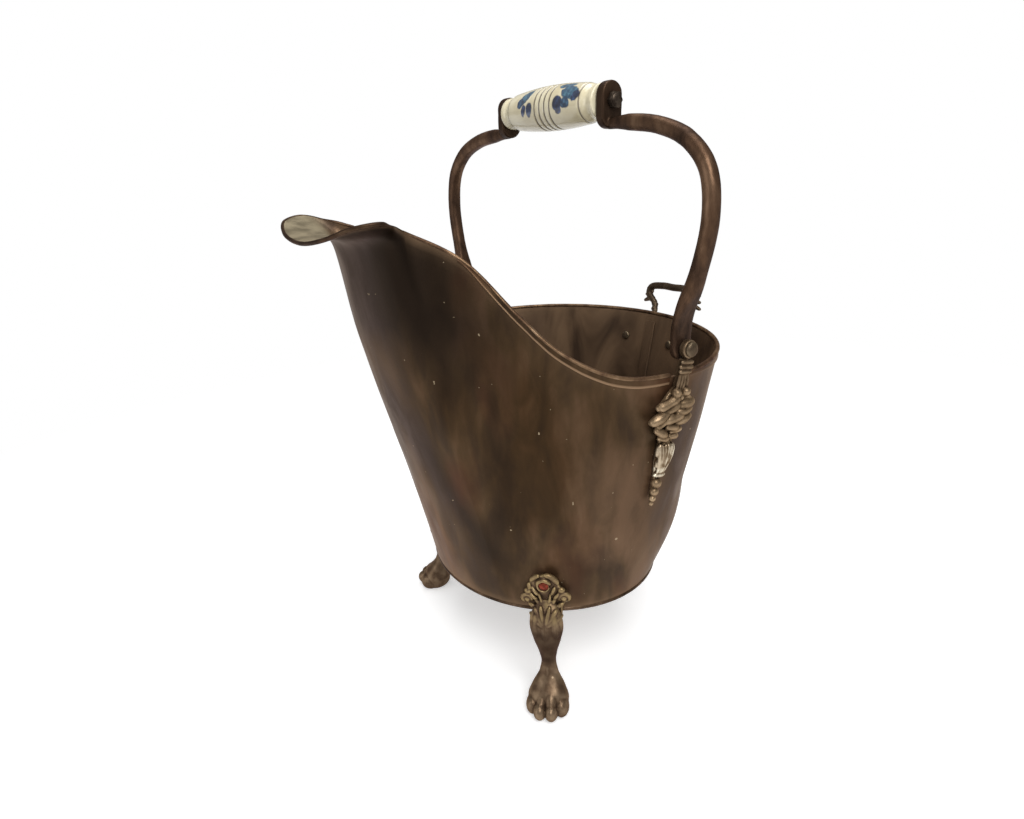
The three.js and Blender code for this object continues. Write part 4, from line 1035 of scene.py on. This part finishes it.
class SCUTTLE_OT_grip(bpy.types.Operator):
    """Glazed grip with its turned lines and painted sprays"""
    bl_idname = "scuttle.grip"
    bl_label = "Grip"

    def radius(self, x):
        """The barrel's radius, with a hollow near each end, a fine ring beside it and the turned lines."""
        r = 10.6 + 3.6 * math.cos(math.pi / 2 * abs(x) / GRIP_HALF) ** 0.9
        neck = 1.7 * bell(abs(x) - 43.2, 3.2) + 0.35 * bell(abs(x) - GRIP_RING, 0.7)
        return r - neck - sum(0.5 * bell(x - g, 0.75) for g in GRIP_LINES)

    def brushed(self, place, around):
        """How much paint and how much teal the spray leaves at a place along and round the grip."""
        paint, teal = 0.0, 0.0
        for cx, cy, a, b, tilt, share in SPRAY.values():
            dx, dy = place.x - cx, around - cy
            c, s = math.cos(math.radians(tilt)), math.sin(math.radians(tilt))
            p, q = (dx * c + dy * s) / a, (dy * c - dx * s) / b
            wave = 0.12 * noise.noise(place / 2.4)
            cover = smooth(1.05, 0.9, math.sqrt(p * p + q * q * max(1 + 0.4 * p, 0.3)) + wave)
            if cover > 0:
                teal = teal * (1 - cover) + share * cover * smooth(1.1, 0.75, p * p + q * q)
                paint = max(paint, cover * 0.96)
        return paint, teal

    def execute(self, context):
        bm = bmesh.new()
        steps, half, bore = 260, GRIP_HALF - 0.8, 2.9
        profile = [(-GRIP_HALF, bore), (-GRIP_HALF, 9.2), (-GRIP_HALF + 0.25, self.radius(half) - 0.4)]
        profile += [(x, self.radius(x)) for x in (-half + 2 * half * i / steps for i in range(steps + 1))]
        profile += [(-x, r) for x, r in profile[2::-1]] + [(-GRIP_HALF, bore)]
        turned(bm, profile, 160)
        petal_layer, teal_layer, line_layer = (
            bm.verts.layers.float.new(name) for name in ("petal", "teal", "line"))
        step = 360 / context.scene.scuttle.motifs
        for v in bm.verts:
            x, y, z = v.co
            if math.hypot(y, z) < 5:
                continue
            angle = math.degrees(math.atan2(-y, z)) - GRIP_FACE
            around = math.radians((angle + step / 2) % step - step / 2) * GRIP_MID_R
            rings = sum(0.9 * bell(x - g, 0.5) for g in (-GRIP_RING, GRIP_RING))
            v[line_layer] = min(1.0, sum(bell(x - g, 0.72) for g in GRIP_LINES) + rings)
            v[petal_layer], v[teal_layer] = self.brushed(v.co, around)
        bmesh.ops.translate(bm, vec=(0, 0, GRIP_V), verts=bm.verts[:])
        move(bm, lean_back())
        finish("pottery_grip", bm, "glaze", "grip", ["grip"], bend=50)
        return {"FINISHED"}


class SCUTTLE_OT_fixings(bpy.types.Operator):
    """Pivot pins, washers, rod, nuts, studs and rivets"""
    bl_idname = "scuttle.fixings"
    bl_label = "Pins, nuts and rivets"

    def turned_piece(self, name, profile, matrix, look, body, slot, node_name, steps=32, bend=35):
        bm = bmesh.new()
        turned(bm, profile, steps)
        move(bm, matrix)
        finish(name, bm, look, body, [node_name], bend=bend)

    def nut(self, name, matrix, node_name):
        """A hexagon nut with eased corners and the rod's domed end."""
        bm = bmesh.new()
        seat = Matrix.Translation((NUT_FACE + 1.6, 0, 0)) @ Matrix.Rotation(math.pi / 2, 4, "Y")
        bmesh.ops.create_cone(bm, cap_ends=True, segments=6, radius1=NUT_R, radius2=NUT_R, depth=3.2,
                              matrix=seat)
        ease_edges(bm, bm.edges[:], 0.45)
        dome = bmesh.new()
        end = ((2.6, 0), (2.6, 4.0), (3.6, 3.9), (4.2, 3.2), (4.5, 2.0), (NUT_REACH, 0))
        turned(dome, [(NUT_FACE + x, r) for x, r in end], 32)
        merge(bm, dome)
        move(bm, matrix)
        finish(name, bm, "steel", "bail", [node_name])

    def rivet(self, name):
        """A smooth rivet or stud where the frame holds one, with the frame's own shape and eased edges."""
        bm = bmesh.new()
        bm.from_mesh(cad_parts[name].data)
        bmesh.ops.remove_doubles(bm, verts=bm.verts[:], dist=1e-6)
        bmesh.ops.scale(bm, vec=(1 / MM,) * 3, verts=bm.verts[:])
        bmesh.ops.translate(bm, vec=(0, -SHIFT, 0), verts=bm.verts[:])
        sharp = [e for e in bm.edges if len(e.link_faces) == 2 and e.calc_face_angle(0) > math.radians(35)]
        ease_edges(bm, sharp, 0.22)
        look, slot = ("copper", "foot_casting") if name.startswith("foot") else ("loop", "gilt_casting")
        finish(f"set_{name}", bm, look, "body", [name], bend=60)

    def execute(self, context):
        washer = ARM_X + ARM_T / 2 + 0.4
        tail, head = ARM_X - ARM_T / 2 - 0.3, EYE_X + EYE_W / 2 + 0.3
        pin = [(tail - 1.8, 0), (tail - 1.6, 1.6), (tail - 1.1, 2.8), (tail - 0.3, 3.4), (tail, 3.4),
               (tail, PIN_R), (head, PIN_R), (head, 4.2), (head + 0.3, 4.5), (head + 1.0, 4.45),
               (head + 1.7, 3.8), (head + 2.2, 2.6), (head + 2.5, 1.2), (head + 2.5, 0)]
        carry = lean_back() @ Matrix.Translation((0, 0, GRIP_V))
        for side, flip in (("right", 1), ("left", -1)):
            mirror = Matrix.Diagonal((flip, 1, 1, 1))
            at_pivot = mirror @ Matrix.Translation(PIVOT)
            self.turned_piece(f"pivot_{side}", pin, at_pivot, "loop", "body", "gilt_casting",
                              f"pivot_pin_{side}", 40, 40)
            self.turned_piece(f"washer_{side}", ring_profile(washer, washer + 1, 4.1, 0.2), at_pivot,
                              "steel", "body", "dark_steel", f"pivot_washer_{side}")
            self.nut(f"nut_{side}", mirror @ carry, f"rod_nut_{side}")
        half, r = NUT_FACE + NUT_REACH - 1.6, ROD_R
        rod = [(-half, 0), (-half, r - 0.2), (-half + 0.2, r), (half - 0.2, r), (half, r - 0.2), (half, 0)]
        self.turned_piece("grip_rod", rod, carry, "steel", "bail", "dark_steel", "tie_rod")
        for name in sorted(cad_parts):
            if "rivet" in name or "stud" in name:
                self.rivet(name)
        return {"FINISHED"}


class SCUTTLE_OT_loop(bpy.types.Operator):
    """Cast tipping handle with its twisted stems, leaf ends and riveted pads"""
    bl_idname = "scuttle.loop"
    bl_label = "Tipping handle"

    def pad(self, bm, back):
        """A round riveted pad with five short leaves."""
        turned(bm, [(back, 2.3), (back, 8.0), (back + 0.5, 8.4), (back + 1.3, 8.2), (back + 2.2, 7.0),
                    (back + 2.4, 6.2), (back + 2.4, 2.3), (back, 2.3)], 40)
        stand_up(bm)
        for k in range(5):
            a = math.radians(-70 + 70 * k / 2)
            roll(bm, (4.2 * math.sin(a), 4.2 * math.cos(a), back + 2.2),
                 (7.6 * math.sin(a), 7.6 * math.cos(a), back + 1.9), 1.1)

    def execute(self, context):
        u = EAR_U + BACK_STATIONS * math.acos(25 / EAR_X) / (math.pi / 2)
        p, up, out, side = wall_frame(u, share_up(u, HANDLE_Z, 0.5, 170))
        back = SHEET / 2 + 0.7
        bm = bmesh.new()
        placed(bm, frame_matrix(p, up, out, side), self.pad, back)
        root = p + out * (back + 2.4) + up * 7
        half = [root, (19.5, BACK_Y + 7.5, 217), (12.5, BACK_Y + 13, 226), (15.4, BACK_Y + 17, 233),
                (25, BACK_Y + 20.5, 239.6), (24, BACK_Y + 22, 245), (12, BACK_Y + 23, 247.2)]
        for k in range(3):
            ball(bm, (12.6 + 1.2 * k, BACK_Y + 13 + 1.9 * k, 225.6 + 3.4 * k), (2.9, 2.9, 2.0), (-30, 20, 0))
        for k in range(3):
            roll(bm, (22.6, BACK_Y + 19.4 + k, 236.4 + 2.6 * k),
                 (29.8 - k, BACK_Y + 20.4 + k, 233.6 + 5 * k), 1.9)
        merge(bm, mirrored(bm))
        points = [Vector(q) for q in half] + [Vector((0, BACK_Y + 23, 247))]
        points += [Vector((-q.x, q.y, q.z)) for q in points[-2::-1]]

        def sizes(s):
            """Full along the upper bar, slim and twisted down both stems."""
            stem = smooth(0.3, 0.18, min(s, 1 - s))
            r = 2.9 - 0.8 * stem + 0.35 * stem * math.sin(s * 230)
            return r, r

        sweep(bm, evenly(spline(points), len(points) - 1, 150), sizes, Vector((0, 1, 0.1)), 20)
        finish("tipping_loop", bm, "loop", "body", ["tipping_handle"],
               cast=context.scene.scuttle.cast_grain)
        return {"FINISHED"}


# the leg down its length (mm): height, reach ahead of the base oval, half depth and half width
LEG = {
    "root": (80, 5.4, 1.6, 5.0), "calf top": (70, 9.0, 4.6, 10.8), "calf": (62, 10.0, 6.0, 11.6),
    "calf low": (52, 10.6, 6.0, 9.4), "shin": (43, 10.2, 5.2, 6.6), "ankle": (34, 10.0, 4.6, 5.1),
    "pastern": (26, 11.4, 5.4, 6.6), "paw back": (18, 14.0, 8.0, 11.2), "paw": (10, 17.4, 10.6, 14.2),
    "sole": (2.6, 18.0, 10.2, 12.8), "under": (0.4, 18.0, 9.2, 11.4),
}
# each foot: degrees round the base from the spout, and its hand
FEET = {"foot_front_right": (51.6, 1), "foot_front_left": (62.0, -1), "foot_back": (180.0, 1)}
LEAF_OUTLINE = [(0, 16), (5, 15), (9, 11.4), (10.6, 6), (14.6, 1), (13.6, -6), (10.4, -11), (9.5, -19)]
# the leaf's veins on one side, rising from the knee: start, end and half thickness (mm)
LEAF_VEINS = (
    (1.0, -11, 4.0, 1.6, 1.1), (1.5, -11, 7.8, -0.8, 1.25), (2.2, -11.6, 10.8, -7.2, 1.7),
    (4.8, 1.6, 7.2, 6.2, 1.2), (6, -2.2, 9.4, 1.6, 1.1),
)
# the crest's crescents: first and last degree from the top, radius and half thickness
LEAF_CREST = ((-8, -62, 9.4, 1.7), (6, 84, 9.8, 1.9), (-70, -104, 9.8, 1.5), (-80, 80, 4.9, 1.5))


class SCUTTLE_OT_feet(bpy.types.Operator):
    """Lion-paw feet with their leaf plates"""
    bl_idname = "scuttle.feet"
    bl_label = "Feet"

    def leaf(self, bm):
        """The plate against the wall, its crest, scrolls and veins, with a flat seat for the rivet's head."""
        back, top = BASE_BEAD_R + 0.4, BASE_BEAD_R + 3.0
        placed(bm, Matrix.Translation((0, 0, back)), slab, both_sides(LEAF_OUTLINE)[::-1], 2.6, 0.5)
        crest = Vector((0, 7.4, top + 0.6))
        for first, last, r, thick in LEAF_CREST:
            curl(bm, crest, r, 90 - first, 90 - last, thick)
        curl(bm, Vector((0, 8, top + 0.8)), 3.5, 0, 359, 1.5)
        for s in (-1, 1):
            curl(bm, Vector((s * 12.6, -2.8, top + 0.4)), 3.4, 90 - s * 150, 90 + s * 130, 1.5)
            ball(bm, (s * 12.4, -2.8, top + 0.8), (2.0, 2.0, 1.9))
            ball(bm, (s * 11.4, 3.6, top + 0.2), (2.5, 2.2, 1.8))
            for x0, q0, x1, q1, r in LEAF_VEINS:
                roll(bm, (s * x0, q0, top + 0.9), (s * x1, q1, top + 0.5), r, bow=0.9)
        for v in bm.verts:
            v.co.z -= v.co.x ** 2 / 180
        for v in bm.verts:
            if v.co.x ** 2 + (v.co.y - 8) ** 2 < 3.4 ** 2 and v.co.z > top + 0.2:
                v.co.z = top + 0.2

    def paw(self, bm):
        """The leg, four toes, the pad between them, the knee's tendons and the curls under the leaf."""
        steps = 80
        place = spline([Vector((z, ahead, 0)) for z, ahead, _, _ in LEG.values()])
        size = spline([Vector((deep, wide, 0)) for _, _, deep, wide in LEG.values()])
        points, spread = [], []
        for i in range(steps + 1):
            a, b = (curve((len(LEG) - 1) * i / steps) for curve in (place, size))
            points.append(Vector((0, a.x, a.y)))
            spread.append((b.x, b.y))
        sweep(bm, points, lambda t: spread[round(t * steps)], Vector((1, 0, 0)), 48)
        for x in (-9.8, -3.9, 3.9, 9.8):
            inner = abs(x) < 5
            far = 35.2 if inner else 28.4
            ball(bm, (x, 6.0, far - 6.4), (4.7, 6.2, 6.4) if inner else (5.2, 7.4, 7.4), (-8, 0, 0))
            roll(bm, (x * 0.5, 20, 15.5), (x * 0.94, 8.6, far - 6.0), 3.8)
        roll(bm, (0, 31, 14.2), (0, 23, 16.4), 1.7)
        for x, low, r in ((-6.6, 57, 3.3), (0, 55, 3.6), (6.6, 57, 3.3)):
            roll(bm, (x * 0.86, 70, 11.6), (x, low, 14.2 - abs(x) * 0.2), r)
        for s in (-1, 1):
            for x, rise, ahead, r in ((3.0, 77, 10.4, 1.5), (7.0, 74.5, 9.6, 1.7), (10.4, 70, 8.6, 2.0)):
                roll(bm, (s * 0.5, 64.5, 14.6), (s * x, rise, ahead), r, bow=0.8)
        for v in bm.verts:
            v.co.y = max(v.co.y, 0.0)

    def execute(self, context):
        def gilding(p):
            """What is left of the gilding lies on the leaf's high points, above the knee."""
            return 0.42 * smooth(62, 72, p.z)

        def grime(p):
            """The shank is dark, and so are the toes' grooves at the floor."""
            return 0.78 * smooth(66, 58, p.z) * smooth(30, 37, p.z) + 0.5 * smooth(3.4, 0.6, p.z)

        up = Vector((0, 0, 1))
        for name, (angle, hand) in FEET.items():
            u = BACK_U if angle >= 180 else station_where(0, lambda s: base_angle(s) < math.radians(angle))
            p = base_at(u)
            ahead = Vector((p.x / BASE_RX ** 2, p.y / BASE_RY ** 2, 0)).normalized()
            if angle < 180:
                ahead.rotate(Matrix.Rotation(-math.radians(5), 3, "Z"))
            bm = bmesh.new()
            placed(bm, frame_matrix(Vector((p.x, p.y, 0)), up, ahead, up.cross(ahead)), self.paw)
            placed(bm, frame_matrix(*wall_frame(u, share_up(u, LEAF_Z, 0.05, 200))), self.leaf)
            if hand < 0:
                bm = mirrored(bm)
            finish(f"paw_{name[5:]}", bm, "foot", "body", [name],
                   cast=context.scene.scuttle.cast_grain, paint={"plating_and_glint": gilding, "grime": grime})
        return {"FINISHED"}


# camera solved from the photograph: degrees, millimetres and pixels of a 1024 wide frame
VIEW_TURN, VIEW_LIFT, VIEW_ROLL = 56.933, 20.514, -4.547
VIEW_REACH, VIEW_FOCAL, VIEW_WIDE, SENSOR = 521.94, 699.45, 1024, 36
VIEW_AIM = Vector((-8.1, -12.5, 182.1))
WHITE = (1, 1, 1, 1)
# each lamp's place in metres, its side in metres and its power
LIGHTS = {
    "key": ((0.95, -0.35, 1.15), 0.8, 14.0),
    "top": ((-0.1, 0.2, 1.5), 1.0, 11.0),
    "fill": ((-0.3, -1.3, 0.5), 0.9, 4.0),
}


class SCUTTLE_OT_studio(bpy.types.Operator):
    """Pale floor, soft lights and the camera"""
    bl_idname = "scuttle.studio"
    bl_label = "Studio"

    def floor(self, scene):
        """A wide pale disc that keeps the object's shadow and is white further off."""
        bm = bmesh.new()
        bmesh.ops.create_circle(bm, cap_ends=True, segments=96, radius=6)
        mesh = bpy.data.meshes.new("studio_floor")
        bm.to_mesh(mesh)
        bm.free()
        floor = bpy.data.objects.new("studio_floor", mesh)
        floor.location.z = -0.0002
        scene.collection.objects.link(floor)
        floor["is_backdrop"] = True
        made = bpy.data.materials.new("pale floor")
        tree = blank(made)
        seen = add(tree, "LightPath").outputs
        any_view = add(tree, "Math", {0: seen["Is Camera Ray"], 1: seen["Is Glossy Ray"]},
                       operation="MAXIMUM")
        matte = add(tree, "BsdfDiffuse", {"Color": (*scene.scuttle.floor, 1)})
        glow = add(tree, "Emission", {"Color": WHITE, "Strength": 0.42})
        near = add(tree, "AddShader", {0: matte, 1: glow})
        plain = add(tree, "Emission", {"Color": WHITE, "Strength": 1.0})
        coords = add(tree, "TexCoord").outputs["Object"]
        reach = add(tree, "VectorMath", {0: coords}, operation="LENGTH")
        far = add(tree, "MapRange", {"Value": reach, "From Min": 0.3, "From Max": 0.9})
        shown = add(tree, "MixShader", {0: far, 1: near, 2: plain})
        whole = add(tree, "MixShader", {0: any_view, 1: matte, 2: shown})
        add(tree, "OutputMaterial", {"Surface": whole})
        mesh.materials.append(made)

    def light(self, scene):
        """A pale world that is white to the camera, and three square lamps."""
        scene.world = bpy.data.worlds.new("studio")
        tree = blank(scene.world)
        seen = add(tree, "LightPath").outputs
        soft = add(tree, "Background", {"Color": WHITE, "Strength": 0.3})
        white = add(tree, "Background", {"Color": WHITE, "Strength": 1.0})
        both = add(tree, "MixShader", {0: seen["Is Camera Ray"], 1: soft, 2: white})
        add(tree, "OutputWorld", {"Surface": both})
        aim = Vector((0, 0, 0.18))
        for name, (place, size, power) in LIGHTS.items():
            data = bpy.data.lights.new(f"{name}_light", "AREA")
            data.shape = "SQUARE"
            data.size = size
            data.energy = power
            lamp = bpy.data.objects.new(f"{name}_light", data)
            lamp.location = place
            lamp.rotation_euler = (aim - Vector(place)).to_track_quat("-Z", "Y").to_euler()
            scene.collection.objects.link(lamp)

    def execute(self, context):
        scene = context.scene
        self.floor(scene)
        self.light(scene)
        a, e, r = (math.radians(x) for x in (VIEW_TURN, VIEW_LIFT, VIEW_ROLL))
        back = Vector((math.sin(a) * math.cos(e), -math.cos(a) * math.cos(e), math.sin(e)))
        right = Vector((math.cos(a), math.sin(a), 0))
        up = back.cross(right)
        x_axis = right * math.cos(r) + up * math.sin(r)
        y_axis = up * math.cos(r) - right * math.sin(r)
        data = bpy.data.cameras.new("photo_view")
        data.sensor_fit = "HORIZONTAL"
        data.sensor_width = SENSOR
        data.lens = VIEW_FOCAL * SENSOR / VIEW_WIDE
        data.clip_start = 0.01
        camera = bpy.data.objects.new("photo_view", data)
        place = (VIEW_AIM + back * VIEW_REACH + Vector((0, SHIFT, 0))) * MM
        turn = Matrix((x_axis, y_axis, back)).transposed().to_4x4()
        camera.matrix_world = Matrix.Translation(place) @ turn
        scene.collection.objects.link(camera)
        scene.camera = camera
        scene.view_settings.view_transform = "Standard"
        return {"FINISHED"}


class SCUTTLE_PT_panel(bpy.types.Panel):
    bl_idname = "SCUTTLE_PT_panel"
    bl_label = "Coal scuttle"
    bl_space_type = "VIEW_3D"
    bl_region_type = "UI"
    bl_category = "Scuttle"

    def draw(self, context):
        settings = context.scene.scuttle
        for name in ("dent", "cast_grain", "wall_columns", "motifs", "floor"):
            self.layout.prop(settings, name)
        for operator in OPERATORS:
            self.layout.operator(operator.bl_idname)


OPERATORS = (SCUTTLE_OT_wall, SCUTTLE_OT_wires, SCUTTLE_OT_pan, SCUTTLE_OT_ears, SCUTTLE_OT_bail,
             SCUTTLE_OT_grip, SCUTTLE_OT_fixings, SCUTTLE_OT_loop, SCUTTLE_OT_feet, SCUTTLE_OT_studio)
CLASSES = (ScuttleSettings, *OPERATORS, SCUTTLE_PT_panel)


def register():
    for made in CLASSES:
        bpy.utils.register_class(made)
    bpy.types.Scene.scuttle = PointerProperty(type=ScuttleSettings)


def unregister():
    del bpy.types.Scene.scuttle
    for made in reversed(CLASSES):
        bpy.utils.unregister_class(made)


def plain(box):
    return [[round(float(x), 6) for x in corner] for corner in box]


def main():
    register()
    for operator in OPERATORS:
        group, name = operator.bl_idname.split(".")
        getattr(getattr(bpy.ops, group), name)()
    {"cad": plain(CAD_BOX), "visual": plain(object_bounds())}


if __name__ == "__main__":
    main()
